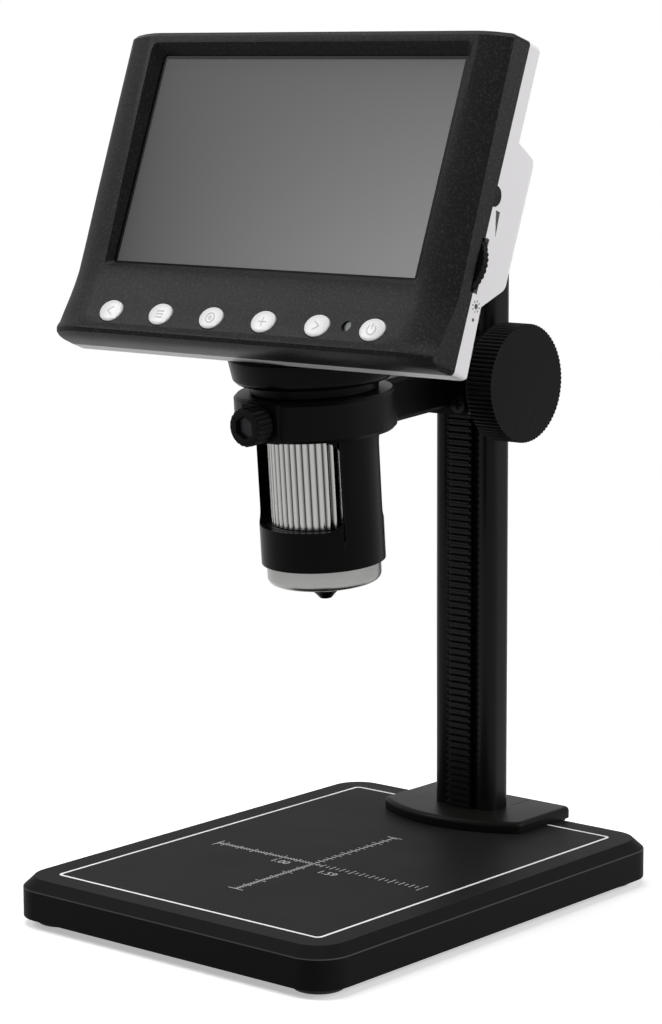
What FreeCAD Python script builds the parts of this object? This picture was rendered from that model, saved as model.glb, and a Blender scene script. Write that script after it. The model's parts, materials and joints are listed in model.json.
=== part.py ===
# Desktop digital microscope with a 4.3 inch screen, on a rack and pinion stand.
# Millimetres. +Z is up, +X is the user's right, and the user looks along +Y from the front.
# The origin is the centre of the base's footprint, on the surface that the feet stand on.

import FreeCAD, Part
import math
import os

V = FreeCAD.Vector

# Fits and clearances shared by the whole part
slide_gap = 0.15
running_fit = 0.05
push_fit = 0.05
free_gap = 0.3

# Base: a moulded box, open below, with a screwed cover, a ballast plate and four rubber feet
base_width = 103.0
base_depth = 134.0
base_corner = 9.0
base_height = 10.0
base_bevel_height = 2.6
base_bevel_run = 2.4
base_wall = 2.0
base_top_wall = 2.2
base_cover = 1.6
foot_height = 2.0
foot_radius = 6.5
foot_recess = 0.6
foot_inset = 9.5
ballast_side_gap = 15.5
ballast_end_gap = 23.0
ballast_thickness = 3.0
base_boss_radius = 3.2
base_screw_side = 8.5
base_screw_end = 25.0
base_screw_end_gap = 0.5

# Column: a hollow extrusion with two screw ports, and a rack strip in its front groove
column_width = 19.6
column_thickness = 9.2
column_corner = 3.0
column_wall = 1.6
column_from_back = 17.0
column_height = 185.0
port_spacing = 11.2
port_radius = 3.2
rack_width = 7.2
rack_seat = 0.8
rack_pitch = 1.8
rack_top_margin = 2.0
cap_height = 2.2
bracket_half_width = 22.8
bracket_toe = 11.9
bracket_bow_radius = 38.0
bracket_overhang = 1.9
bracket_lip = 1.2
bracket_height = 3.0
bracket_front_corner = 3.0
bracket_back_corner = 2.0
bracket_edge = 1.2
bracket_screw_x = 16.5
stand_screw_reach = 10.0

# Carriage: a block that slides on the column and holds the pinion shaft
carriage_half_width = 15.0
carriage_depth = 10.0
carriage_height = 19.5
carriage_corner = 2.0
cover_thickness = 3.0
pad_thickness = 0.7
pad_half_width = 7.0
pad_half_height = 7.0
shaft_setback = 5.0
shaft_z = 130.4
shaft_over_low = 8.9
carriage_screw_inset = 2.6
carriage_screw_end = 2.0
shaft_radius = 2.0
pinion_teeth = 13
pinion_width = 7.0
tooth_addendum = 0.45
tooth_dedendum = 0.6
rack_tooth = 0.70
pinion_tooth = 0.62
pressure_angle = 20.0
knob_radius = 15.2
knob_width = 8.2
knob_offset = 1.5
knob_ribs = 80
knob_rib_depth = 0.45
knob_edge = 0.15
knob_wall = 2.2
knob_hub_radius = 4.6
washer_radius = 5.0
clip_radius = 3.4
clip_thickness = 0.6

# Arm and clamp ring: one moulding that droops a little towards the front
lean = 4.4
ring_y = -8.7
arm_drop = 3.4
ring_outer_radius = 20.0
ring_height = 10.0
ring_chamfer = 0.8
arm_width = 14.0
arm_height = 11.4
arm_low = -6.8
arm_edge = 1.4
flange_half_width = 13.0
flange_height = 17.0
flange_thickness = 3.5
flange_screw_inset = 2.9
arm_screw_reach = 6.4
screw_end_gap = 0.6
boss_half_width = 5.5
boss_half_height = 4.7
boss_proud = 0.7
clamp_knob_radius = 4.75
clamp_knob_length = 5.6
clamp_knob_gap = 0.3
clamp_teeth = 20
clamp_tooth_depth = 0.4
clamp_screw_radius = 1.5
clamp_hex_flats = 4.9
clamp_hex_height = 2.0
clamp_recess_depth = 3.1
insert_radius = 2.9
insert_length = 3.9
insert_inset = 0.4

# Barrel: the camera tube under the screen, with the focus wheel in its windows
barrel_radius = 15.5
barrel_wall = 1.8
barrel_low = -38.0
barrel_collar_radius = 16.0
barrel_collar_height = 2.6
window_half_width = 13.5
window_low = -28.0
window_high = -5.6
window_corner = 3.0
neck_low_radius = 20.0
neck_top_radius = 21.0
neck_chamfer = 1.0
neck_height = 6.6
spigot_wall = 1.7
collar_gap = 0.2
neck_screw_gap = 0.4
neck_screw_floor = 0.6
neck_screw_end = 0.4
wheel_radius = 12.4
wheel_flutes = 44
wheel_flute_depth = 0.7
wheel_journal_radius = 10.0
wheel_bore = 8.6
bush_height = 2.6
lens_travel = 2.5
carrier_wall = 2.0
carrier_end_gap = 0.1
carrier_length = 14.0
carrier_stem_radius = 3.4
tip_base = -45.9
tip_end = -47.7
tip_base_radius = 3.1
tip_end_radius = 1.5
tip_bore = 0.9
lens_thickness = 2.0
nose_radius = 14.25
nose_height = 5.2
nose_round = 1.8
nose_opening = 11.0
nose_seat_step = 0.9
window_thickness = 1.2
led_board_thickness = 1.0
led_count = 8
led_size = 2.8
led_height = 1.0
led_circle = 8.4
sensor_board_thickness = 1.6
sensor_size = 8.0
sensor_height = 1.2
board_ledge = 1.0
board_ledge_height = 1.6
board_ledge_drop = 7.0

# Screen head, in its own tilted axes: X across, V from the screen plane to the back, U up the screen
head_tilt = 20.94
head_forward = 10.68
head_rise = 60.63
head_half_width = 61.5
head_top = 32.7
head_bottom = -47.8
head_top_corner = 1.4
head_bottom_corner = 1.2
seam = 4.5
bezel_wall = 2.0
bezel_side_wall = 3.4
bezel_draft = 10.8
bezel_crown = 3.0
bezel_crown_gap = 1.4
lcd_opening_inset = 3.6
lcd_opening_top = 27.4
lcd_opening_bottom = -27.2
lcd_opening_corner = 1.0
lcd_rim_lip = 0.3
lcd_rim_slope = 42.0
lcd_rim_corner = 3.2
lcd_side_gap = 0.5
lcd_top = 29.3
lcd_bottom = -34.6
lcd_glass_thickness = 1.3
backlight_thickness = 1.6
rear_wall = 1.8
rear_depth = 8.6
bulge_depth = 17.2
bulge_top = 6.5
bulge_top_foot = 9.3
bulge_bottom = -21.4
bulge_bottom_foot = -30.2
bulge_edge = 2.0
hump_radius = 20.8
hump_depth = 46.0
hump_depth_u = -33.0
hump_top = 3.0
head_screw_inset = 5.9
head_screw_below_top = 7.1
head_screw_above_bottom = 8.8
head_screw_recess = 0.3
head_screw_end = 0.6
head_boss_radius = 2.9
head_boss_wall = 0.8
boss_floor = 0.2

# Keys, along the strip under the screen
key_count = 6
key_row_inset = 7.55
key_u = -40.5
key_half_width = 3.7
key_half_height = 2.85
key_gap = 0.2
key_proud = 0.5
key_dome = 24.0
key_flange_edge = 0.8
key_flange_thickness = 0.6
key_travel = 0.5
key_stop = 0.1
strip_slope = 10.85
strip_pocket_inset = 9.0
strip_pocket_top = -35.4
strip_pocket_floor = -2.0
keypad_thickness = 1.2
keypad_side_gap = 0.5
keypad_end_gap = 0.2
switch_size = 5.2
switch_height = 1.4
switch_nub_radius = 1.7
switch_nub_height = 0.25
keypad_post_inset = 3.2
keypad_screw_floor = 0.4
keypad_screw_end = 0.6
keypad_post_radius = 2.0
indicator_shift = 0.3
indicator_u = -40.0
indicator_radius = 1.3
indicator_depth = 0.7

# Light dimmer wheel and the small tongue on the right side of the head
dimmer_u = -21.4
dimmer_radius = 9.0
dimmer_proud = 1.5
dimmer_thickness = 1.8
dimmer_overlap = 0.6
dimmer_teeth = 40
dimmer_tooth_depth = 0.3
dimmer_pin_radius = 1.5
dimmer_slot_top = -14.8
dimmer_slot_bottom = -28.0
pot_radius = 4.2
pot_height = 3.0
tongue_u = -4.9
tongue_radius = 2.5
tongue_v = 4.3

# Electronics in the head
board_side_gap = 1.9
board_wheel_gap = 2.0
board_top = 25.0
board_bottom = -33.5
tab_inset = 2.9
tab_range = (-21.0, 6.5)
board_thickness = 1.2
board_gap = 1.6
usb_size = (5.6, 7.6, 2.7)
usb_u = 1.0
card_size = (14.5, 14.0, 1.9)
card_u = -12.5
socket_inset = 0.4
socket_wall = 0.5
card_wall = 0.4
card_side_wall = 0.8
battery_size = (34.0, 21.0, 6.6)
battery_side_gap = 3.7
battery_u = -7.5
ribbon_width = 8.0
ribbon_thickness = 0.3
ribbon_start = 4.0
ribbon_rise = 3.0
ribbon_bend_u = -31.0
ribbon_end_u = -24.0
board_post_radius = 2.2
board_screw_inset = 4.0
board_screw_low = 1.9
board_screw_floor = 1.0

# Screws: shank radius, head radius, head height
big_screw = (1.5, 2.7, 1.6)
small_screw = (1.2, 2.2, 1.3)
tiny_screw = (0.9, 1.6, 0.9)


# Places and sizes that follow from the ones above
base_low = foot_height
base_top = foot_height + base_height
base_screw_x = base_width / 2 - base_screw_side
base_screw_y = base_depth / 2 - base_screw_end
ballast_width = base_width - 2 * ballast_side_gap
ballast_depth = base_depth - 2 * ballast_end_gap
bracket_top = base_top + bracket_height
column_front = base_depth / 2 - column_from_back
column_back = column_front + column_thickness
column_mid = column_front + column_thickness / 2
column_top = bracket_top + column_height
bracket_front = column_front - bracket_toe
bracket_back = base_depth / 2 + bracket_overhang
port_places = (-port_spacing / 2, port_spacing / 2)
stand_screw_places = (-bracket_screw_x,) + port_places + (bracket_screw_x,)
carriage_front = column_front - carriage_depth
carriage_low = shaft_z - shaft_over_low
carriage_high = carriage_low + carriage_height
carriage_mid = (carriage_low + carriage_high) / 2
carriage_rear = column_back + pad_thickness + running_fit * 2
shaft_y = column_front - shaft_setback
pitch_radius = pinion_teeth * rack_pitch / (2 * math.pi)
pitch_line = shaft_y + pitch_radius
rack_tip = pitch_line - tooth_addendum
rack_root = pitch_line + tooth_dedendum
arm_screw_x = flange_half_width - flange_screw_inset
arm_screw_z = flange_height / 2 - flange_screw_inset
ring_z = shaft_z - arm_drop
ring_bore = barrel_radius + slide_gap
ring_half = ring_height / 2
boss_face = -(ring_outer_radius + boss_proud)
clamp_knob_back = boss_face - clamp_knob_gap
clamp_knob_face = clamp_knob_back - clamp_knob_length
barrel_inner = barrel_radius - barrel_wall
collar_low = ring_half + collar_gap
neck_low = collar_low + barrel_collar_height
neck_top = neck_low + neck_height
neck_screw_circle = barrel_inner + small_screw[1] + neck_screw_gap
neck_screw_turns = (90, 210, 330)
board_ledge_top = neck_low - board_ledge_drop
carrier_low = window_low + lens_travel + carrier_end_gap
carrier_high = carrier_low + carrier_length
head_y = ring_y - head_forward
head_z = ring_z + head_rise
head_screw_x = head_half_width - head_screw_inset
head_screw_top = head_top - head_screw_below_top
head_screw_bottom = head_bottom + head_screw_above_bottom
head_screw_places = [(x, u) for x in (-head_screw_x, head_screw_x) for u in (head_screw_bottom, head_screw_top)]
head_seat = rear_depth - small_screw[2] - head_screw_recess
lcd_half_width = head_screw_x - head_boss_radius - lcd_side_gap
lcd_opening_half_width = lcd_half_width - lcd_opening_inset
bezel_crown_start = lcd_opening_half_width + bezel_crown_gap
front_profile = [(head_top, -2.0), (head_top - 1.2, -3.0), (11.0, -2.7), (-7.7, -2.3), (-22.0, -1.9),
                 (-29.8, -1.8), (-33.4, -2.2), (-36.8, -2.8), (-41.3, -3.8), (-43.9, -4.3), (-44.7, -4.8),
                 (-45.5, -5.0), (-46.5, -4.6), (-47.3, -3.1), (head_bottom, -0.6)]
strip_pocket_half_width = head_half_width - strip_pocket_inset
keypad_post_x = strip_pocket_half_width - keypad_post_inset
key_row_half = keypad_post_x - key_row_inset
key_pitch = 2 * key_row_half / (key_count - 1)
key_places = [-key_row_half + i * key_pitch for i in range(key_count)]
key_rest = strip_pocket_floor + running_fit
keypad_front = key_rest + key_flange_thickness + key_travel + key_stop + switch_nub_height + switch_height
indicator_x = key_row_half - key_pitch / 2 + indicator_shift
dimmer_x = head_half_width + dimmer_proud - dimmer_radius
dimmer_v = seam + dimmer_thickness / 2 - dimmer_overlap
board_front = lcd_glass_thickness + backlight_thickness + board_gap
board_back = board_front + board_thickness
board_left = -(head_screw_x - head_boss_radius - head_boss_wall - board_side_gap)
board_right = dimmer_x - dimmer_radius - board_wheel_gap
board_screw_columns = (board_left + board_screw_inset, board_right - board_screw_inset)
board_screw_rows = (board_bottom + board_screw_low, board_top - board_screw_inset)
board_screw_places = [(x, u) for x in board_screw_columns for u in board_screw_rows]
board_chip_list = [(-12.0, -8.0, 11.0, 11.0, 1.2), (6.0, -4.0, 9.0, 7.0, 1.0), (22.0, 8.0, 6.0, 5.0, 0.9),
                   (-30.0, 12.0, 7.0, 5.0, 0.9), (-10.0, -22.5, 14.0, 3.4, 1.0), (26.0, -14.0, 5.0, 4.0, 1.6)]
tab_left = -(head_half_width - tab_inset)
socket_x = -(head_half_width - socket_inset)
battery_left = -(head_half_width - rear_wall - battery_side_gap)


def box(x_range, y_range, z_range):
    size = [r[1] - r[0] for r in (x_range, y_range, z_range)]
    return Part.makeBox(size[0], size[1], size[2], V(x_range[0], y_range[0], z_range[0]))


def rod(radius, start, end):
    way = V(*end) - V(*start)
    return Part.makeCylinder(radius, way.Length, V(*start), way)


def corner_outline(x_range, y_range, radii, z):
    """A rectangle at height z with a radius for each corner, from low X, low Y, anticlockwise. 0 is sharp."""
    (x0, x1), (y0, y1) = x_range, y_range
    corners = [(x0, y0), (x1, y0), (x1, y1), (x0, y1)]
    inward = [(1, 1), (-1, 1), (-1, -1), (1, -1)]
    edges = []
    stops = []
    for (x, y), (sx, sy), r, index in zip(corners, inward, radii, range(4)):
        if r == 0:
            stops.append((V(x, y, z), None, V(x, y, z)))
            continue
        centre = V(x + sx * r, y + sy * r, z)
        first = centre + V(-sx * r, 0, 0)
        last = centre + V(0, -sy * r, 0)
        if index % 2:
            first, last = last, first
        middle = centre + V(-sx, -sy, 0).normalize() * r
        stops.append((first, middle, last))
    for (first, middle, last), following in zip(stops, stops[1:] + stops[:1]):
        if middle:
            edges.append(Part.Arc(first, middle, last).toShape())
        if (following[0] - last).Length > 1e-6:
            edges.append(Part.LineSegment(last, following[0]).toShape())
    return Part.Wire(edges)


def corner_block(x_range, y_range, z_range, radii):
    if isinstance(radii, (int, float)):
        radii = [radii] * 4
    face = Part.Face(corner_outline(x_range, y_range, radii, z_range[0]))
    return face.extrude(V(0, 0, z_range[1] - z_range[0]))


def prism(points, way):
    """A solid from a closed outline of 3D points, pushed along a vector."""
    corners = [V(*p) for p in points]
    return Part.Face(Part.makePolygon(corners + corners[:1])).extrude(V(*way))


def spun(outline):
    """A solid of revolution about Z, from points of radius and height."""
    corners = [V(r, 0, h) for r, h in outline]
    face = Part.Face(Part.makePolygon(corners + corners[:1]))
    return face.revolve(V(0, 0, 0), V(0, 0, 1), 360)


def toothed_disc(radius, depth, count, low, high):
    """A disc about Z with small pointed ribs round its rim."""
    points = []
    for i in range(count):
        step = 2 * math.pi / count
        for share, r in ((0.0, radius), (0.3, radius), (0.65, radius - depth)):
            a = (i + share) * step
            points.append((r * math.cos(a), r * math.sin(a), low))
    return prism(points, (0, 0, high - low))


def ring(inner, outer, low, high):
    return rod(outer, (0, 0, low), (0, 0, high)).cut(rod(inner, (0, 0, low - 1), (0, 0, high + 1)))


def screw(size, length, place, way):
    """A pan head screw: place is the seat under its head, way points along its shank."""
    shank, head, head_height = size
    slot_width = shank * 0.5
    slot_depth = head_height * 0.6
    body = rod(shank, (0, 0, -length), (0, 0, 0.1)).fuse(rod(head, (0, 0, 0), (0, 0, head_height)))
    for turn in (0, 90):
        slot = box((-head * 0.6, head * 0.6), (-slot_width / 2, slot_width / 2),
                   (head_height - slot_depth, head_height + 1))
        slot.rotate(V(0, 0, 0), V(0, 0, 1), turn)
        body = body.cut(slot)
    body.Placement = FreeCAD.Placement(V(*place), FreeCAD.Rotation(V(0, 0, -1), V(*way)))
    return body


def joined(shapes):
    first = shapes[0]
    return first.fuse(shapes[1:]).removeSplitter() if len(shapes) > 1 else first


def group(shapes):
    return Part.makeCompound(shapes)


def in_head(shape):
    """Moves a shape from the head's axes (X, V, U) to the row's axes."""
    placed = shape.copy()
    placed.rotate(V(0, 0, 0), V(1, 0, 0), -head_tilt)
    placed.translate(V(0, head_y, head_z))
    return placed


def in_barrel(shape):
    """Moves a shape from the leaning barrel's axes, centred in the clamp ring, to the row's axes."""
    placed = shape.copy()
    placed.rotate(V(0, 0, 0), V(1, 0, 0), lean)
    placed.translate(V(0, ring_y, ring_z))
    return placed


nodes = {}


# Base shell: bevelled top edge, hollow below, with four bosses for the cover's screws
def make_base():
    half_w, half_d = base_width / 2, base_depth / 2
    bevel_start = base_top - base_bevel_height
    block = corner_block((-half_w, half_w), (-half_d, half_d), (base_low, bevel_start), base_corner)
    low_edge = corner_outline((-half_w, half_w), (-half_d, half_d), [base_corner] * 4, bevel_start)
    in_w, in_d = half_w - base_bevel_run, half_d - base_bevel_run
    top_radius = base_corner - base_bevel_run * 0.5
    top_edge = corner_outline((-in_w, in_w), (-in_d, in_d), [top_radius] * 4, base_top)
    block = joined([block, Part.makeLoft([low_edge, top_edge], True, True)])
    cav_w, cav_d = half_w - base_wall, half_d - base_wall
    ceiling = base_top - base_top_wall
    cavity = corner_block((-cav_w, cav_w), (-cav_d, cav_d), (base_low - 1, ceiling), base_corner - base_wall)
    cover_top = base_low + base_cover
    shell = block.cut(cavity)
    places = [(x, y) for x in (-base_screw_x, base_screw_x) for y in (-base_screw_y, base_screw_y)]
    shank, head, head_height = small_screw
    for x, y in places:
        shell = shell.fuse(rod(base_boss_radius, (x, y, cover_top), (x, y, ceiling + 0.5)))
    for x, y in places:
        shell = shell.cut(rod(shank + push_fit, (x, y, cover_top - 1), (x, y, ceiling - base_screw_end_gap)))
    for x in stand_screw_places:
        hole = big_screw[0] + push_fit
        shell = shell.cut(rod(hole, (x, column_mid, ceiling - 1), (x, column_mid, base_top + 1)))
    nodes["base_top_shell"] = shell.removeSplitter()

    cover_w, cover_d = cav_w - slide_gap, cav_d - slide_gap
    cover = corner_block((-cover_w, cover_w), (-cover_d, cover_d), (base_low, cover_top),
                         base_corner - base_wall - slide_gap)
    foot_x, foot_y = half_w - foot_inset, half_d - foot_inset
    feet = []
    for x in (-foot_x, foot_x):
        for y in (-foot_y, foot_y):
            cover = cover.cut(rod(foot_radius + push_fit, (x, y, base_low - 1), (x, y, base_low + foot_recess)))
            foot = rod(foot_radius, (x, y, 0), (x, y, base_low + foot_recess))
            foot = foot.makeChamfer(foot_recess, [e for e in foot.Edges if e.BoundBox.ZMax < 0.01])
            feet.append(foot)
    screws = []
    for x, y in places:
        seat = base_low + base_cover / 2
        cover = cover.cut(rod(shank + push_fit * 2, (x, y, base_low - 1), (x, y, cover_top + 1)))
        cover = cover.cut(rod(head + push_fit * 2, (x, y, base_low - 1), (x, y, seat)))
        length = ceiling - 2 * base_screw_end_gap - seat
        screws.append(screw((shank, head, base_cover / 2), length, (x, y, seat), (0, 0, 1)))
    nodes["base_bottom_cover"] = cover
    nodes["rubber_feet"] = group(feet)
    nodes["base_screws"] = group(screws)
    nodes["ballast_plate"] = corner_block((-ballast_width / 2, ballast_width / 2),
                                          (-ballast_depth / 2 - base_wall, ballast_depth / 2 - base_wall),
                                          (cover_top, cover_top + ballast_thickness), base_wall)


# Column with its bracket, rack strip, top cap and the screws that come up through the base
def make_column():
    half_w = column_width / 2
    bracket = corner_block((-bracket_half_width, bracket_half_width), (bracket_front, bracket_back),
                           (base_top, bracket_top), [0, 0] + [bracket_back_corner] * 2)
    bow_centre = bracket_front + bracket_bow_radius
    bracket = bracket.common(rod(bracket_bow_radius, (0, bow_centre, base_top), (0, bow_centre, bracket_top)))
    front_corners = [e for e in bracket.Edges if e.BoundBox.ZLength > bracket_height / 2
                     and e.BoundBox.YMax < column_front]
    bracket = bracket.makeFillet(bracket_front_corner, front_corners)
    top_edges = [e for e in bracket.Edges if e.BoundBox.ZMin > bracket_top - 0.01]
    bracket = bracket.makeFillet(bracket_edge, top_edges)
    lip_half = bracket_half_width - bracket_back_corner
    lip_y = (base_depth / 2 + push_fit, bracket_back)
    lip = box((-lip_half, lip_half), lip_y, (base_top - bracket_lip, base_top))
    bracket = bracket.fuse(lip)
    outer = corner_block((-half_w, half_w), (column_front, column_back), (bracket_top, column_top), column_corner)
    hollow_w = half_w - column_wall
    hollow_y = (column_front + column_wall, column_back - column_wall)
    hollow = corner_block((-hollow_w, hollow_w), hollow_y, (bracket_top - 1, column_top + 1),
                          column_corner - column_wall)
    post = outer.cut(hollow)
    groove = rack_width / 2 + push_fit
    ports = [rod(port_radius, (x, column_mid, bracket_top), (x, column_mid, column_top)) for x in port_places]
    post = post.fuse([p.common(outer) for p in ports])
    post = post.cut(box((-groove, groove), (column_front - 1, column_front + rack_seat),
                        (bracket_top - 1, column_top + 1)))
    shank, head, head_height = big_screw
    ceiling = base_top - base_top_wall
    screws = []
    for x in port_places:
        post = post.cut(rod(shank + push_fit, (x, column_mid, bracket_top - 1), (x, column_mid, column_top + 1)))
        length = base_top_wall + bracket_height + stand_screw_reach
        screws.append(screw(big_screw, length, (x, column_mid, ceiling), (0, 0, 1)))
    for x in (-bracket_screw_x, bracket_screw_x):
        screws.append(screw(big_screw, base_top_wall + bracket_height * 0.6, (x, column_mid, ceiling), (0, 0, 1)))
        bracket = bracket.cut(rod(shank + push_fit, (x, column_mid, base_top - 1),
                                  (x, column_mid, base_top + bracket_height * 0.7)))
    for x in port_places:
        bracket = bracket.cut(rod(shank + push_fit, (x, column_mid, base_top - 1),
                                  (x, column_mid, bracket_top + 1)))
    nodes["column_bracket"] = bracket
    nodes["column_post"] = post.removeSplitter()
    nodes["stand_screws"] = group(screws)

    cap = corner_block((-half_w, half_w), (column_front, column_back), (column_top, column_top + cap_height),
                       column_corner)
    cap_edges = [e for e in cap.Edges if e.BoundBox.ZMin > column_top + cap_height - 0.01]
    cap = cap.makeFillet(cap_height * 0.4, cap_edges)
    plug_w = port_spacing / 2 - port_radius - slide_gap
    plug = box((-plug_w, plug_w), (hollow_y[0] + slide_gap, hollow_y[1] - slide_gap),
               (column_top - 3 * cap_height, column_top))
    nodes["column_top_cap"] = joined([cap, plug])

    slope = math.tan(math.radians(pressure_angle))
    root_half = rack_tooth / 2 + tooth_dedendum * slope
    tip_half = rack_tooth / 2 - tooth_addendum * slope
    low, high = bracket_top, column_top - rack_top_margin
    first = math.ceil((low - shaft_z + root_half) / rack_pitch - 0.5)
    last = math.floor((high - shaft_z - root_half) / rack_pitch - 0.5)
    seat = column_front + rack_seat
    points = [(seat, low), (rack_root, low)]
    for k in range(first, last + 1):
        z = shaft_z + (k + 0.5) * rack_pitch
        points += [(rack_root, z - root_half), (rack_tip, z - tip_half), (rack_tip, z + tip_half),
                   (rack_root, z + root_half)]
    points += [(rack_root, high), (seat, high)]
    nodes["column_rack"] = prism([(-rack_width / 2, y, z) for y, z in points], (rack_width, 0, 0))


# Carriage housing, rear cover, friction pad and their screws
def make_carriage():
    w = carriage_half_width
    block = corner_block((-w, w), (carriage_front, carriage_rear), (carriage_low, carriage_high),
                         [carriage_corner, carriage_corner, 0, 0])
    channel_w = column_width / 2 + slide_gap
    z_all = (carriage_low - 1, carriage_high + 1)
    block = block.cut(box((-channel_w, channel_w), (column_front - slide_gap, carriage_rear + 1), z_all))
    slot_w = rack_width / 2 + free_gap
    block = block.cut(box((-slot_w, slot_w), (rack_tip - free_gap, column_front), z_all))
    cavity_radius = pitch_radius + tooth_addendum + free_gap
    cavity_half = pinion_width / 2 + free_gap
    block = block.cut(rod(cavity_radius, (-cavity_half, shaft_y, shaft_z), (cavity_half, shaft_y, shaft_z)))
    block = block.cut(box((-cavity_half, cavity_half), (shaft_y, column_front),
                          (shaft_z - cavity_radius, shaft_z + cavity_radius)))
    bore = shaft_radius + running_fit
    block = block.cut(rod(bore, (-w - 1, shaft_y, shaft_z), (w + 1, shaft_y, shaft_z)))
    cover = corner_block((-w, w), (carriage_rear, carriage_rear + cover_thickness),
                         (carriage_low, carriage_high), [0, 0, carriage_corner, carriage_corner])
    shank, head, head_height = small_screw
    screw_x = (channel_w + w) / 2
    screw_z = carriage_height / 2 - carriage_screw_inset
    cover_back = carriage_rear + cover_thickness
    cover_screws = []
    for x in (-screw_x, screw_x):
        for z in (carriage_mid - screw_z, carriage_mid + screw_z):
            seat = cover_back - head_height
            cover = cover.cut(rod(head + 2 * push_fit, (x, cover_back + 1, z), (x, seat, z)))
            cover = cover.cut(rod(shank + 2 * push_fit, (x, cover_back, z), (x, carriage_rear - 1, z)))
            end = column_front + carriage_screw_end
            block = block.cut(rod(shank + push_fit, (x, carriage_rear + 1, z), (x, end - screw_end_gap, z)))
            cover_screws.append(screw(small_screw, seat - end, (x, seat, z), (0, -1, 0)))
    arm_screws = []
    arm_seat = carriage_front - flange_thickness
    for x in (-arm_screw_x, arm_screw_x):
        for z in (shaft_z - arm_screw_z, shaft_z + arm_screw_z):
            end = carriage_front + arm_screw_reach
            block = block.cut(rod(shank + push_fit, (x, carriage_front - 1, z), (x, end + screw_end_gap, z)))
            arm_screws.append(screw(small_screw, end - arm_seat, (x, arm_seat, z), (0, 1, 0)))
    nodes["carriage_housing"] = block
    nodes["carriage_rear_cover"] = cover
    nodes["friction_pad"] = box((-pad_half_width, pad_half_width), (carriage_rear - pad_thickness, carriage_rear),
                                (carriage_mid - pad_half_height, carriage_mid + pad_half_height))
    nodes["carriage_screws"] = group(cover_screws)
    nodes["arm_screws"] = group(arm_screws)


# Pinion, its shaft, the big ribbed focus knob, a washer and a retaining clip
def make_focus_drive():
    slope = math.tan(math.radians(pressure_angle))
    tip = pitch_radius + tooth_addendum
    root = pitch_radius - tooth_dedendum
    points = []
    for i in range(pinion_teeth):
        middle = math.pi / 2 + i * 2 * math.pi / pinion_teeth
        for r, half in ((root, pinion_tooth / 2 + tooth_dedendum * slope),
                        (tip, pinion_tooth / 2 - tooth_addendum * slope)):
            for side in ((-1, 1) if r == root else (1, -1)):
                a = middle + side * half / r
                points.append((r, a))
        ordered = points[-4:]
        points[-4:] = [ordered[0], ordered[3], ordered[2], ordered[1]]
    gear = prism([(r * math.cos(a), r * math.sin(a), -pinion_width / 2) for r, a in points],
                 (0, 0, pinion_width))
    gear = gear.cut(rod(shaft_radius + push_fit / 2, (0, 0, -pinion_width), (0, 0, pinion_width)))
    gear.rotate(V(0, 0, 0), V(0, 1, 0), 90)
    gear.translate(V(0, shaft_y, shaft_z))
    nodes["drive_pinion"] = gear
    knob_face = carriage_half_width + knob_offset + knob_width
    shaft_left = -(carriage_half_width + running_fit * 2 + clip_thickness * 2)
    shaft_right = knob_face - knob_wall
    nodes["pinion_shaft"] = rod(shaft_radius, (shaft_left, shaft_y, shaft_z), (shaft_right, shaft_y, shaft_z))
    clip = ring(shaft_radius + push_fit / 2, clip_radius, 0, clip_thickness)
    clip.rotate(V(0, 0, 0), V(0, 1, 0), 90)
    clip.translate(V(shaft_left + clip_thickness, shaft_y, shaft_z))
    nodes["shaft_clip"] = clip
    washer = ring(shaft_radius + push_fit / 2, washer_radius, 0, knob_offset - 2 * running_fit)
    washer.rotate(V(0, 0, 0), V(0, 1, 0), 90)
    washer.translate(V(carriage_half_width + 2 * running_fit, shaft_y, shaft_z))
    nodes["knob_washer"] = washer
    edge = knob_rib_depth + knob_edge
    body = toothed_disc(knob_radius, knob_rib_depth, knob_ribs, 0, knob_width)
    envelope = spun([(0, 0), (knob_radius - edge, 0), (knob_radius, edge), (knob_radius, knob_width - knob_edge),
                     (knob_radius - knob_edge, knob_width), (0, knob_width)])
    body = body.common(envelope)
    pocket = ring(knob_hub_radius, knob_radius - knob_wall, -1, knob_width - knob_wall)
    body = body.cut(pocket)
    body = body.cut(rod(shaft_radius + push_fit / 2, (0, 0, -1), (0, 0, knob_width - knob_wall)))
    body.rotate(V(0, 0, 0), V(0, 1, 0), 90)
    body.translate(V(carriage_half_width + knob_offset, shaft_y, shaft_z))
    nodes["focus_knob"] = body


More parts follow.
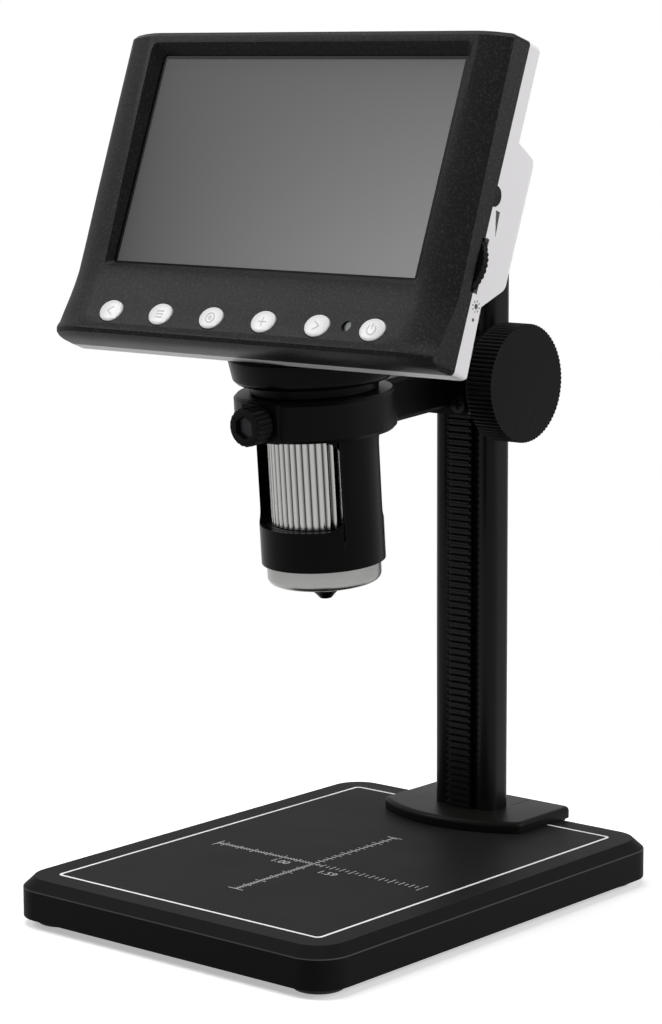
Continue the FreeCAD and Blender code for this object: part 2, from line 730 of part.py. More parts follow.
# Arm with its clamp ring and rear flange, the brass insert, and the clamp screw with its knob
def make_arm():
    c = ring_chamfer
    hoop = spun([(0, -ring_half), (ring_outer_radius - c, -ring_half), (ring_outer_radius, -ring_half + c),
                 (ring_outer_radius, ring_half - c), (ring_outer_radius - c, ring_half), (0, ring_half)])
    reach = (carriage_front - ring_y) / math.cos(math.radians(lean)) + 2
    bar = box((-arm_width / 2, arm_width / 2), (ring_outer_radius * 0.6, reach),
              (arm_low, arm_low + arm_height))
    long_edges = [e for e in bar.Edges if e.BoundBox.YLength > reach / 2]
    bar = bar.makeFillet(arm_edge, long_edges)
    pad = box((-boss_half_width, boss_half_width), (boss_face, -ring_outer_radius * 0.8),
              (-boss_half_height, boss_half_height))
    moulding = in_barrel(joined([hoop, bar, pad]))
    back_y = (carriage_front - flange_thickness / 2, carriage_front + ring_outer_radius)
    back = box((-3 * arm_width, 3 * arm_width), back_y, (ring_z - 3 * flange_height, ring_z + 3 * flange_height))
    moulding = moulding.cut(back)
    flange = corner_block((-flange_half_width, flange_half_width), (-flange_height / 2, flange_height / 2),
                          (0, flange_thickness), carriage_corner)
    flange.rotate(V(0, 0, 0), V(1, 0, 0), 90)
    flange.translate(V(0, carriage_front, shaft_z))
    moulding = joined([moulding, flange])
    bore = in_barrel(rod(ring_bore, (0, 0, -ring_height), (0, 0, ring_height)))
    insert_back = boss_face + insert_inset
    seat = in_barrel(rod(insert_radius + push_fit / 2, (0, insert_back + insert_length, 0),
                         (0, boss_face - 1, 0)))
    screw_bore = in_barrel(rod(clamp_screw_radius + running_fit, (0, boss_face, 0), (0, -barrel_radius + 1, 0)))
    moulding = moulding.cut([bore, seat, screw_bore])
    shank = small_screw[0]
    for x in (-arm_screw_x, arm_screw_x):
        for z in (shaft_z - arm_screw_z, shaft_z + arm_screw_z):
            moulding = moulding.cut(rod(shank + 2 * push_fit, (x, carriage_front + 1, z),
                                        (x, carriage_front - flange_thickness - 1, z)))
    nodes["focus_arm"] = moulding.removeSplitter()
    nut = rod(insert_radius, (0, insert_back, 0), (0, insert_back + insert_length, 0))
    nut = nut.cut(rod(clamp_screw_radius + running_fit, (0, insert_back - 1, 0), (0, 0, 0)))
    nodes["clamp_insert"] = in_barrel(nut)

    hex_radius = clamp_hex_flats / 2 / math.cos(math.pi / 6)

    def hexagon(radius, y0, y1):
        corners = [(radius * math.sin(math.pi / 3 * i), y0, radius * math.cos(math.pi / 3 * i)) for i in range(6)]
        return prism(corners, (0, y1 - y0, 0))

    head_low = clamp_knob_face + clamp_recess_depth
    body = toothed_disc(clamp_knob_radius, clamp_tooth_depth, clamp_teeth, 0, clamp_knob_length)
    edge = clamp_tooth_depth
    envelope = spun([(0, 0), (clamp_knob_radius - edge, 0), (clamp_knob_radius, edge),
                     (clamp_knob_radius, clamp_knob_length - edge), (clamp_knob_radius - edge, clamp_knob_length),
                     (0, clamp_knob_length)])
    body = body.common(envelope)
    body.rotate(V(0, 0, 0), V(1, 0, 0), 90)
    body.translate(V(0, clamp_knob_back, 0))
    body = body.cut(hexagon(hex_radius + push_fit, clamp_knob_face - 1, head_low))
    body = body.cut(rod(clamp_screw_radius + push_fit / 2, (0, clamp_knob_face, 0), (0, clamp_knob_back + 1, 0)))
    nodes["clamp_knob"] = in_barrel(body)
    tip = -(barrel_radius + slide_gap + running_fit)
    stud = rod(clamp_screw_radius, (0, head_low - 0.1, 0), (0, tip, 0))
    nodes["clamp_screw"] = in_barrel(joined([stud, hexagon(hex_radius, head_low - clamp_hex_height, head_low)]))


# Barrel tube with two windows, the neck on top, the nose ring below and what they hold
def make_barrel():
    tube = spun([(barrel_inner, barrel_low), (barrel_radius, barrel_low), (barrel_radius, collar_low),
                 (barrel_collar_radius, collar_low), (barrel_collar_radius, neck_low), (barrel_inner, neck_low),
                 (barrel_inner, board_ledge_top), (barrel_inner - board_ledge, board_ledge_top),
                 (barrel_inner - board_ledge, board_ledge_top - board_ledge_height),
                 (barrel_inner, board_ledge_top - board_ledge_height)])
    opening = corner_block((-window_half_width, window_half_width), (window_low, window_high),
                           (-barrel_radius - 1, barrel_radius + 1), window_corner)
    opening.rotate(V(0, 0, 0), V(1, 0, 0), 90)
    nodes["barrel_tube"] = in_barrel(tube.cut(opening))
    spigot = barrel_inner - push_fit
    board_top = board_ledge_top + sensor_board_thickness
    bore = spigot - spigot_wall
    neck = spun([(bore, board_top), (spigot, board_top), (spigot, neck_low),
                 (neck_low_radius - neck_chamfer, neck_low), (neck_low_radius, neck_low + neck_chamfer),
                 (neck_top_radius, neck_top - neck_chamfer * 0.4), (neck_top_radius - neck_chamfer * 0.4, neck_top),
                 (bore, neck_top)])
    shank, head, head_height = small_screw
    screws = []
    for turn in neck_screw_turns:
        x = neck_screw_circle * math.cos(math.radians(turn))
        y = neck_screw_circle * math.sin(math.radians(turn))
        neck = neck.cut(rod(shank + push_fit, (x, y, neck_top + 1), (x, y, neck_low + neck_screw_floor)))
        length = rear_wall + neck_height - neck_screw_floor - neck_screw_end
        screws.append(screw(small_screw, length, (x, y, neck_top + rear_wall), (0, 0, -1)))
    nodes["barrel_neck"] = in_barrel(neck)
    nodes["neck_screws"] = in_barrel(group(screws))
    board = rod(barrel_inner - push_fit, (0, 0, board_ledge_top), (0, 0, board_top))
    nodes["sensor_board"] = in_barrel(board)
    half = sensor_size / 2
    nodes["image_sensor"] = in_barrel(box((-half, half), (-half, half),
                                          (board_ledge_top - sensor_height, board_ledge_top)))

    bush_bore = wheel_journal_radius + 2 * running_fit
    upper = ring(bush_bore, barrel_inner - push_fit, window_high, window_high + bush_height)
    lower = ring(bush_bore, barrel_inner - push_fit, window_low - bush_height, window_low)
    nodes["wheel_bushes"] = in_barrel(group([upper, lower]))
    wheel_low, wheel_high = window_low + running_fit * 4, window_high - running_fit * 4
    wheel = toothed_disc(wheel_radius, wheel_flute_depth, wheel_flutes, wheel_low, wheel_high)
    journal_low = window_low - bush_height + running_fit * 4
    journal_high = window_high + bush_height - running_fit * 4
    wheel = wheel.fuse(rod(wheel_journal_radius, (0, 0, journal_low), (0, 0, journal_high)))
    wheel = wheel.cut(rod(wheel_bore, (0, 0, journal_low - 1), (0, 0, journal_high + 1)))
    nodes["focus_wheel"] = in_barrel(wheel.removeSplitter())

    outer = wheel_bore - 2 * running_fit
    inner = outer - carrier_wall
    carrier = spun([(0, tip_end), (tip_end_radius, tip_end), (tip_base_radius, tip_base),
                    (carrier_stem_radius, tip_base), (carrier_stem_radius, carrier_low), (outer, carrier_low),
                    (outer, carrier_high), (inner, carrier_high), (inner, carrier_low + carrier_wall),
                    (0, carrier_low + carrier_wall)])
    carrier = carrier.cut(rod(tip_bore, (0, 0, tip_end - 1), (0, 0, carrier_high)))
    seat_height = carrier_low + carrier_wall
    lens = rod(inner - push_fit, (0, 0, seat_height), (0, 0, seat_height + lens_thickness))
    tip_seat = tip_end + carrier_wall
    tip_lens_radius = tip_bore - push_fit
    tip_lens = rod(tip_lens_radius, (0, 0, tip_seat), (0, 0, tip_seat + lens_thickness / 2))
    nodes["lens_carrier"] = in_barrel(carrier)
    nodes["objective_lenses"] = in_barrel(group([lens, tip_lens]))

    nose_low = barrel_low - nose_height
    window_seat = nose_low + nose_seat_step
    board_seat = window_seat + window_thickness + led_height + nose_seat_step
    seat_radius = nose_opening + nose_seat_step
    board_radius = barrel_inner - nose_seat_step
    steps = 5
    rounding = [(nose_radius - nose_round + nose_round * math.sin(math.pi / 2 * i / steps),
                 nose_low + nose_round - nose_round * math.cos(math.pi / 2 * i / steps)) for i in range(steps + 1)]
    nose = spun([(nose_opening, nose_low)] + rounding + [
        (nose_radius, barrel_low), (barrel_inner - push_fit, barrel_low),
        (barrel_inner - push_fit, barrel_low + spigot_wall * 2), (board_radius, barrel_low + spigot_wall * 2),
        (board_radius, board_seat), (seat_radius, board_seat), (seat_radius, window_seat),
        (nose_opening, window_seat)])
    nodes["nose_ring"] = in_barrel(nose)
    hole = carrier_stem_radius + free_gap
    nodes["nose_window"] = in_barrel(ring(hole, seat_radius - push_fit, window_seat,
                                          window_seat + window_thickness))
    nodes["led_ring_board"] = in_barrel(ring(hole, board_radius - push_fit, board_seat,
                                             board_seat + led_board_thickness))
    lamps = []
    for i in range(led_count):
        lamp = box((led_circle - led_size / 2, led_circle + led_size / 2), (-led_size / 2, led_size / 2),
                   (board_seat - led_height, board_seat))
        lamp.rotate(V(0, 0, 0), V(0, 0, 1), 360.0 * (i + 0.5) / led_count)
        lamps.append(lamp)
    nodes["illumination_leds"] = in_barrel(group(lamps))


def key_oval(extra, x, front, back):
    """The keys' oval outline with an extra edge round it, from one depth of the head to another."""
    outline = Part.Ellipse(V(0, 0, 0), key_half_width + extra, key_half_height + extra)
    face = Part.Face(Part.Wire([outline.toShape()]))
    face.rotate(V(0, 0, 0), V(1, 0, 0), 90)
    face.translate(V(x, front, key_u))
    return face.extrude(V(0, back - front, 0))


def strip_front(u):
    """How far forward the front face is, at its middle, for a height u on the screen."""
    points = front_profile
    for (u0, v0), (u1, v1) in zip(points, points[1:]):
        if u1 <= u <= u0:
            return v0 + (v1 - v0) * (u0 - u) / (u0 - u1)
    return points[-1][1]


# Front bezel: a crowned shell with the screen opening and the tilted key strip
def make_bezel():
    crown = [(-1.0, 1.0), (-0.8, 0.62), (-0.5, 0.25), (-0.2, 0.04), (0.0, 0.0)]
    span = head_half_width - bezel_crown_start
    stations = [(-bezel_crown_start + s * span, k * bezel_crown) for s, k in crown]
    stations += [(-x, k) for x, k in reversed(stations)]
    sections = []
    for x, drop in stations:
        outline = [(seam, head_top)] + [(v + drop, u) for u, v in front_profile] + [(seam, head_bottom)]
        corners = [V(x, v, u) for v, u in outline]
        sections.append(Part.makePolygon(corners + corners[:1]))
    block = Part.makeLoft(sections, True, True)
    front = min(v for u, v in front_profile) - 1
    narrower = (seam - front) * math.tan(math.radians(bezel_draft))
    block = block.common(Part.makeLoft([head_wire(narrower, front), head_wire(0.0, seam)], True, True))
    inner_w = head_half_width - bezel_side_wall
    inner_u = (head_bottom + bezel_wall, head_top - bezel_wall)
    block = block.cut(box((-inner_w, inner_w), (0, seam + 1), inner_u))
    block = block.cut(box((-strip_pocket_half_width, strip_pocket_half_width), (strip_pocket_floor, seam + 1),
                          (inner_u[0], strip_pocket_top)))
    spread = (-lcd_rim_lip - front) * math.tan(math.radians(lcd_rim_slope))
    wires = []
    for v, grow, corner in ((front, spread, lcd_rim_corner), (-lcd_rim_lip, 0.0, lcd_opening_corner),
                            (1.0, 0.0, lcd_opening_corner)):
        wire = corner_outline((-lcd_opening_half_width - grow, lcd_opening_half_width + grow),
                              (lcd_opening_bottom - grow, lcd_opening_top + grow), [corner] * 4, 0)
        wire.rotate(V(0, 0, 0), V(1, 0, 0), 90)
        wire.translate(V(0, v, 0))
        wires.append(wire)
    block = block.cut(Part.makeLoft(wires, True, True))
    tongue = rod(tongue_radius, (head_half_width - rear_wall, tongue_v, tongue_u),
                 (head_half_width, tongue_v, tongue_u))
    tongue = tongue.cut(box((inner_w, head_half_width + 1), (seam - 2 * tongue_radius, seam),
                            (tongue_u - tongue_radius, tongue_u + tongue_radius)))
    block = block.fuse(tongue)
    shank = small_screw[0]
    post_top = keypad_front
    for x in (-keypad_post_x, keypad_post_x):
        block = block.fuse(rod(keypad_post_radius, (x, strip_pocket_floor - 0.1, key_u), (x, post_top, key_u)))
    for x, u in head_screw_places:
        block = block.fuse(rod(head_boss_radius, (x, -0.1, u), (x, seam, u)))
    for x, u in head_screw_places:
        block = block.cut(rod(shank + push_fit, (x, boss_floor, u), (x, seam + 1, u)))
    for x in (-keypad_post_x, keypad_post_x):
        block = block.cut(rod(tiny_screw[0] + push_fit, (x, strip_pocket_floor + keypad_screw_floor, key_u),
                              (x, post_top + 1, key_u)))
    for x in key_places:
        block = block.cut(key_oval(key_gap, x, front, seam))
    block = block.cut(rod(indicator_radius + push_fit, (indicator_x, front, indicator_u),
                          (indicator_x, seam, indicator_u)))
    block = block.cut(dimmer_slot())
    nodes["front_bezel"] = in_head(block.removeSplitter())
    lens_front = strip_front(indicator_u) + indicator_depth
    nodes["indicator_lens"] = in_head(rod(indicator_radius, (indicator_x, lens_front, indicator_u),
                                          (indicator_x, keypad_front, indicator_u)))


def head_wire(narrower, v):
    """The head's front outline with rounded corners at depth v, narrower by that much on each side."""
    w = head_half_width - narrower
    radii = [head_bottom_corner] * 2 + [head_top_corner] * 2
    wire = corner_outline((-w, w), (head_bottom, head_top), radii, 0)
    wire.rotate(V(0, 0, 0), V(1, 0, 0), 90)
    wire.translate(V(0, v, 0))
    return wire


def dimmer_slot():
    """The space round the dimmer wheel that both halves of the head leave open."""
    half = dimmer_thickness / 2 + free_gap
    slot = box((head_half_width - 2 * rear_wall, head_half_width + 1), (dimmer_v - half, dimmer_v + half),
               (dimmer_slot_bottom, dimmer_slot_top))
    return slot.fuse(rod(dimmer_radius + free_gap, (dimmer_x, dimmer_v - half, dimmer_u),
                         (dimmer_x, dimmer_v + half, dimmer_u)))


# Screen stack, boards, battery and sockets inside the head
def make_electronics():
    glass_back = lcd_glass_thickness
    light_back = glass_back + backlight_thickness
    side = (-lcd_half_width, lcd_half_width)
    height = (lcd_bottom, lcd_top)
    nodes["lcd_panel"] = in_head(box(side, (0, glass_back), height))
    nodes["lcd_backlight"] = in_head(box(side, (glass_back, light_back), height))
    board = box((board_left, board_right), (board_front, board_back), (board_bottom, board_top))
    board = joined([board, box((tab_left, board_left), (board_front, board_back), tab_range)])
    shank, head, head_height = tiny_screw
    screws = []
    for x, u in board_screw_places:
        board = board.cut(rod(shank + push_fit, (x, board_front - 1, u), (x, board_back + 1, u)))
        depth = rear_depth - rear_wall - board_back
        screws.append(screw(tiny_screw, board_thickness + depth, (x, board_front, u), (0, 1, 0)))
    nodes["main_board"] = in_head(board)
    chips = [box((x, x + w), (board_back, board_back + t), (u, u + h)) for x, u, w, h, t in board_chip_list]
    nodes["board_chips"] = in_head(group(chips))
    usb_x = socket_x
    usb = box((usb_x, usb_x + usb_size[0]), (board_back, board_back + usb_size[2]),
              (usb_u - usb_size[1] / 2, usb_u + usb_size[1] / 2))
    wall = socket_wall
    usb = usb.cut(box((usb_x - 1, usb_x + usb_size[0] - 2 * wall),
                      (board_back + wall, board_back + usb_size[2] - wall),
                      (usb_u - usb_size[1] / 2 + wall, usb_u + usb_size[1] / 2 - wall)))
    card = box((usb_x, usb_x + card_size[0]), (board_back, board_back + card_size[2]),
               (card_u - card_size[1] / 2, card_u + card_size[1] / 2))
    side = card_side_wall
    card = card.cut(box((usb_x - 1, usb_x + card_size[0] - side),
                        (board_back + card_wall, board_back + card_size[2] - card_wall),
                        (card_u - card_size[1] / 2 + side, card_u + card_size[1] / 2 - side)))
    nodes["board_sockets"] = in_head(group([usb, card]))
    length, height, thickness = battery_size
    battery_back = bulge_depth - rear_wall
    battery = box((battery_left, battery_left + length), (battery_back - thickness, battery_back),
                  (battery_u - height / 2, battery_u + height / 2))
    battery = battery.makeFillet(thickness * 0.2, [e for e in battery.Edges if e.BoundBox.ZLength > height * 0.9])
    nodes["battery_pack"] = in_head(battery)

    pad_top = keypad_front + keypad_thickness
    low = head_bottom + bezel_wall + keypad_end_gap
    keypad_half = strip_pocket_half_width - keypad_side_gap
    keypad = box((-keypad_half, keypad_half), (keypad_front, pad_top), (low, strip_pocket_top - keypad_end_gap))
    for x in (-keypad_post_x, keypad_post_x):
        keypad = keypad.cut(rod(shank + push_fit, (x, keypad_front - 1, key_u), (x, pad_top + 1, key_u)))
        length = pad_top - strip_pocket_floor - keypad_screw_end
        screws.append(screw(tiny_screw, length, (x, pad_top, key_u), (0, -1, 0)))
    nodes["keypad_board"] = in_head(keypad)
    nodes["board_screws"] = in_head(group(screws))
    half = switch_size / 2
    switches = []
    for x in key_places:
        body = box((x - half, x + half), (keypad_front - switch_height, keypad_front),
                   (key_u - half, key_u + half))
        nub = rod(switch_nub_radius, (x, keypad_front - switch_height - switch_nub_height, key_u),
                  (x, keypad_front - switch_height, key_u))
        switches.append(joined([body, nub]))
    nodes["tact_switches"] = in_head(group(switches))

    wheel_front = dimmer_v - dimmer_thickness / 2
    wheel_back = dimmer_v + dimmer_thickness / 2
    wheel = toothed_disc(dimmer_radius, dimmer_tooth_depth, dimmer_teeth, 0, dimmer_thickness)
    wheel = wheel.cut(rod(dimmer_pin_radius + running_fit, (0, 0, -1), (0, 0, dimmer_thickness + 1)))
    wheel.rotate(V(0, 0, 0), V(1, 0, 0), 90)
    wheel.translate(V(dimmer_x, wheel_back, dimmer_u))
    nodes["dimmer_wheel"] = in_head(wheel)
    pot_front = wheel_back + free_gap
    pin = rod(dimmer_pin_radius, (dimmer_x, wheel_front, dimmer_u), (dimmer_x, pot_front + 0.1, dimmer_u))
    can = rod(pot_radius, (dimmer_x, pot_front, dimmer_u), (dimmer_x, pot_front + pot_height, dimmer_u))
    nodes["dimmer_pot"] = in_head(joined([pin, can]))


# Key caps: one for each place, with a tilted dome and a flange behind the bezel
def make_keys():
    face = strip_front(key_u)
    tilt = math.radians(strip_slope)
    centre = V(0, face - key_proud + key_dome * math.cos(tilt), key_u - key_dome * math.sin(tilt))
    flange_back = key_rest + key_flange_thickness
    for number, x in enumerate(key_places, 1):
        stem = key_oval(0.0, x, face - key_dome, key_rest + 0.1)
        dome = Part.makeSphere(key_dome, V(x, centre.y, centre.z))
        cap = stem.common(dome)
        flange = key_oval(key_flange_edge, x, key_rest, flange_back)
        nodes["key_cap_%d" % number] = in_head(joined([cap, flange]))


# Rear shell: full width bulge for the battery, and a hump that carries the barrel's neck
def make_rear_shell():
    d, b = rear_depth, bulge_depth
    edge = bulge_edge
    outer_points = [(seam, head_bottom), (d, head_bottom), (d + 0.8, head_bottom + 0.8), (d, bulge_bottom_foot),
                    (b - edge * 0.5, bulge_bottom - edge), (b, bulge_bottom), (b, bulge_top - edge * 0.2),
                    (b - edge, bulge_top + edge * 0.5), (d, bulge_top_foot), (d, head_top - 1.6),
                    (d - 0.7, head_top), (seam, head_top)]

    def slab(points, half_width):
        return prism([(-half_width, v, u) for v, u in points], (2 * half_width, 0, 0))

    outer = slab(outer_points, head_half_width)
    e = bulge_edge
    w = head_half_width
    plan = [(-w, 0), (-w, b - e), (-w + e * 0.3, b - e * 0.3), (-w + e, b + 0.01), (w - e, b + 0.01),
            (w - e * 0.3, b - e * 0.3), (w, b - e), (w, 0)]
    outer = outer.common(prism([(x, v, head_bottom - 5) for x, v in plan], (0, 0, head_top - head_bottom + 10)))
    outer = outer.common(Part.Face(head_wire(0.0, seam)).extrude(V(0, b, 0)))
    forward = seam - rear_wall - 1
    deep = [(forward, head_bottom)] + outer_points[1:-1] + [(forward, head_top)]
    corners = [V(0, v, u) for v, u in deep]
    wire = Part.makePolygon(corners + corners[:1])
    inside = Part.Face(wire.makeOffset2D(-rear_wall, 2))
    inner_w = head_half_width - rear_wall
    inner = inside.extrude(V(2 * inner_w, 0, 0))
    inner.translate(V(-inner_w, 0, 0))

    def hump(wall, front):
        """The hump's outer form, or with a wall its hollow, from the depth called front to the back."""
        radius = hump_radius - wall
        low = neck_top + wall
        reach = 4 * hump_radius
        round_part = rod(radius, (0, 0, low), (0, 0, low + reach))
        square_part = box((-radius, radius), (-reach, 0), (low, low + reach))
        column = in_barrel(joined([round_part, square_part]))
        slope = (hump_depth - b) / (hump_top - hump_depth_u)
        shift = wall * math.hypot(1, slope)
        side = [(front, head_bottom), (d + 0.4, head_bottom), (d + 0.4, head_bottom - reach),
                (hump_depth - wall, head_bottom - reach),
                (hump_depth - wall, hump_depth_u + (wall - shift) / slope),
                (front, hump_top + (b - shift - front) / slope)]
        return column.common(in_head(slab(side, radius + 1)))

    shell = in_head(outer).fuse(hump(0.0, d - rear_wall * 0.5))
    shell = shell.cut(in_head(inner))
    shell = shell.cut(hump(rear_wall, d - rear_wall - 0.1))
    extras = []
    for x, u in head_screw_places:
        extras.append(rod(head_boss_radius + head_boss_wall, (x, seam, u), (x, rear_depth - boss_floor, u)))
    for x, u in board_screw_places:
        post_end = (rear_depth if u > bulge_top_foot or u < bulge_bottom_foot else bulge_depth) - boss_floor
        extras.append(rod(board_post_radius, (x, board_back, u), (x, post_end, u)))
    pot_back = dimmer_v + dimmer_thickness / 2 + free_gap + pot_height
    extras.append(rod(pot_radius - 1, (dimmer_x, pot_back, dimmer_u),
                      (dimmer_x, bulge_depth - rear_wall / 2, dimmer_u)))
    shell = shell.fuse([in_head(e) for e in extras])
    cuts = []
    shank, head, head_height = small_screw
    for x, u in head_screw_places:
        cuts.append(rod(head + 2 * push_fit, (x, head_seat, u), (x, rear_depth + 5, u)))
        cuts.append(rod(shank + 2 * push_fit, (x, seam - 1, u), (x, rear_depth, u)))
    for x, u in board_screw_places:
        cuts.append(rod(tiny_screw[0] + push_fit, (x, board_back - 1, u), (x, rear_depth - board_screw_floor, u)))
    cuts.append(rod(tongue_radius + push_fit, (head_half_width - 2 * rear_wall, tongue_v, tongue_u),
                    (head_half_width + 1, tongue_v, tongue_u)))
    cuts.append(dimmer_slot())
    for u, size in ((usb_u, usb_size), (card_u, card_size)):
        cuts.append(box((-head_half_width - 1, -head_half_width + 2 * rear_wall),
                        (board_back - push_fit, board_back + size[2] + push_fit),
                        (u - size[1] / 2 - push_fit, u + size[1] / 2 + push_fit)))
    shell = shell.cut([in_head(c) for c in cuts])
    hole = in_barrel(rod(barrel_inner - spigot_wall, (0, 0, neck_top - 1), (0, 0, neck_top + rear_wall + 1)))
    shell = shell.cut(hole)
    shell = shell.cut(in_barrel(rod(neck_top_radius + push_fit, (0, 0, neck_low), (0, 0, neck_top))))
    for turn in neck_screw_turns:
        x = neck_screw_circle * math.cos(math.radians(turn))
        y = neck_screw_circle * math.sin(math.radians(turn))
        hole = rod(shank + 2 * push_fit, (x, y, neck_top - 1), (x, y, neck_top + 2 * rear_wall))
        head_space = rod(head + push_fit, (x, y, neck_top + rear_wall), (x, y, neck_top + rear_wall + head_height))
        shell = shell.cut([in_barrel(hole), in_barrel(head_space)])
    nodes["rear_shell"] = shell.removeSplitter()
    screws = []
    for x, u in head_screw_places:
        screws.append(screw(small_screw, head_seat - head_screw_end, (x, head_seat, u), (0, -1, 0)))
    nodes["rear_screws"] = in_head(group(screws))


# Flat flex cable from the sensor board up to the back of the main board
def make_ribbon():
    def to_head(y, s):
        world = in_barrel(Part.Vertex(0, y, s)).Point - V(0, head_y, head_z)
        a = math.radians(head_tilt)
        return (world.y * math.cos(a) - world.z * math.sin(a), world.y * math.sin(a) + world.z * math.cos(a))

    start = to_head(-ribbon_start, board_ledge_top + sensor_board_thickness)
    rise = to_head(-ribbon_start, neck_top + ribbon_rise)
    flat_v = board_back + ribbon_thickness / 2
    path = [start, rise, (flat_v, ribbon_bend_u), (flat_v, ribbon_end_u)]
    left, right = [], []
    for i, (v, u) in enumerate(path):
        before = path[max(i - 1, 0)]
        after = path[min(i + 1, len(path) - 1)]
        dv, du = after[0] - before[0], after[1] - before[1]
        size = math.hypot(dv, du)
        nv, nu = -du / size * ribbon_thickness / 2, dv / size * ribbon_thickness / 2
        left.append((v + nv, u + nu))
        right.append((v - nv, u - nu))
    outline = left + right[::-1]
    strip = prism([(-ribbon_width / 2, v, u) for v, u in outline], (ribbon_width, 0, 0))
    nodes["sensor_ribbon"] = in_head(strip)


make_base()
make_column()
make_carriage()
make_focus_drive()
make_arm()
make_barrel()
make_bezel()
make_electronics()
make_keys()
make_rear_shell()
make_ribbon()

os.makedirs("parts", exist_ok=True)
for name, shape in nodes.items():
    shape.exportStep("parts/%s.step" % name)
    print(name, len(shape.Solids), round(shape.Volume, 1), shape.isValid())
print(len(nodes), "nodes")
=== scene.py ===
import json
import math

import bmesh
import bpy
from mathutils import Matrix, Vector


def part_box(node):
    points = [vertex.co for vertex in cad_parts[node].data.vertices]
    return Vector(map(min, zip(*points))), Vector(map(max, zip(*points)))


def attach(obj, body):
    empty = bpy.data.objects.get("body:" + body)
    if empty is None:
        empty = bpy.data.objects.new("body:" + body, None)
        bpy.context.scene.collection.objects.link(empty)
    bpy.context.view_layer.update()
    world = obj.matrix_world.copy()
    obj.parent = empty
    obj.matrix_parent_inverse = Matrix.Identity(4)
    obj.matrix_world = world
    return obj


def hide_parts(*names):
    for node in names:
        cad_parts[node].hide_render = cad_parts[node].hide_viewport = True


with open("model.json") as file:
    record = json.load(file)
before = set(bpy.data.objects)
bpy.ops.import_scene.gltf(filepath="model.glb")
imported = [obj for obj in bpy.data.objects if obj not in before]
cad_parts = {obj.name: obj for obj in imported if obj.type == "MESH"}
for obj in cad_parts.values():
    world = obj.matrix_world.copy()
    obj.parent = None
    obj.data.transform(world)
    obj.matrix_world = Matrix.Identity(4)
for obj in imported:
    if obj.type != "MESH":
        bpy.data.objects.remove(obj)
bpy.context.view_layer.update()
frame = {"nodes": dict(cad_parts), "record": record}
MM = 0.001


# Camera: the photograph's own viewpoint, from the front right and a little above the base. Its angles,
# place and lens were fitted to the corners of the screen, the base and the printed frame line.
view_turn = math.radians(40.33)
view_drop = math.radians(8.80)
view_roll = math.radians(-0.24)
ahead = Vector((-math.sin(view_turn) * math.cos(view_drop),
                math.cos(view_turn) * math.cos(view_drop), -math.sin(view_drop)))
level_right = Vector((math.cos(view_turn), math.sin(view_turn), 0))
level_up = level_right.cross(ahead)
right = level_right * math.cos(view_roll) + level_up * math.sin(view_roll)
up = level_up * math.cos(view_roll) - level_right * math.sin(view_roll)
camera_data = bpy.data.cameras.new("photo_camera")
camera_data.lens = 106.36
camera_data.sensor_fit = "VERTICAL"
camera_data.sensor_height = 36
camera_data.clip_start = 0.01
camera_data.clip_end = 20
camera = bpy.data.objects.new("photo_camera", camera_data)
bpy.context.scene.collection.objects.link(camera)
camera_place = Matrix((right, up, -ahead)).transposed().to_4x4()
camera_place.translation = Vector((0.48201, -0.57074, 0.21603))
camera.matrix_world = camera_place
bpy.context.scene.camera = camera
bpy.context.scene.view_settings.view_transform = "Standard"


# Studio: a white floor under a large overhead panel, with a softer panel on each side.
# The camera sees plain white behind; the object is lit by a dimmer room.
def linear(hex_colour):
    """An sRGB hex colour as linear red, green, blue and full alpha."""
    parts = [int(hex_colour[i:i + 2], 16) / 255 for i in (1, 3, 5)]
    return [p / 12.92 if p <= 0.04045 else ((p + 0.055) / 1.055) ** 2.4 for p in parts] + [1.0]


def add_node(tree, kind, values=None, links=None, **settings):
    """One shader node with its settings, its plain socket values and its incoming links."""
    made = tree.nodes.new(kind)
    for name, value in settings.items():
        setattr(made, name, value)
    for socket, value in (values or {}).items():
        made.inputs[socket].default_value = value
    for socket, source in (links or {}).items():
        tree.links.new(source, made.inputs[socket])
    return made


def add_mesh(name, mesh, material):
    """An object in the scene from a mesh, with its material."""
    made = bpy.data.objects.new(name, mesh)
    bpy.context.scene.collection.objects.link(made)
    mesh.materials.append(material)
    return made


def add_panel(name, place, target, width, height, power):
    """A soft rectangular light at a place, turned towards a target."""
    light = bpy.data.lights.new(name, "AREA")
    light.shape = "RECTANGLE"
    light.size, light.size_y, light.energy = width, height, power
    made = bpy.data.objects.new(name, light)
    bpy.context.scene.collection.objects.link(made)
    made.location = place
    made.rotation_euler = (Vector(target) - Vector(place)).to_track_quat("-Z", "Y").to_euler()


def seen_rays(tree):
    """A socket that is 1 where the camera sees a surface, directly, in a reflection or through glass."""
    path = add_node(tree, "ShaderNodeLightPath")
    camera_or_gloss = add_node(tree, "ShaderNodeMath", operation="MAXIMUM",
                               links={0: path.outputs["Is Camera Ray"], 1: path.outputs["Is Glossy Ray"]})
    any_sight = add_node(tree, "ShaderNodeMath", operation="MAXIMUM",
                         links={0: camera_or_gloss.outputs[0], 1: path.outputs["Is Transmission Ray"]})
    return any_sight.outputs[0]


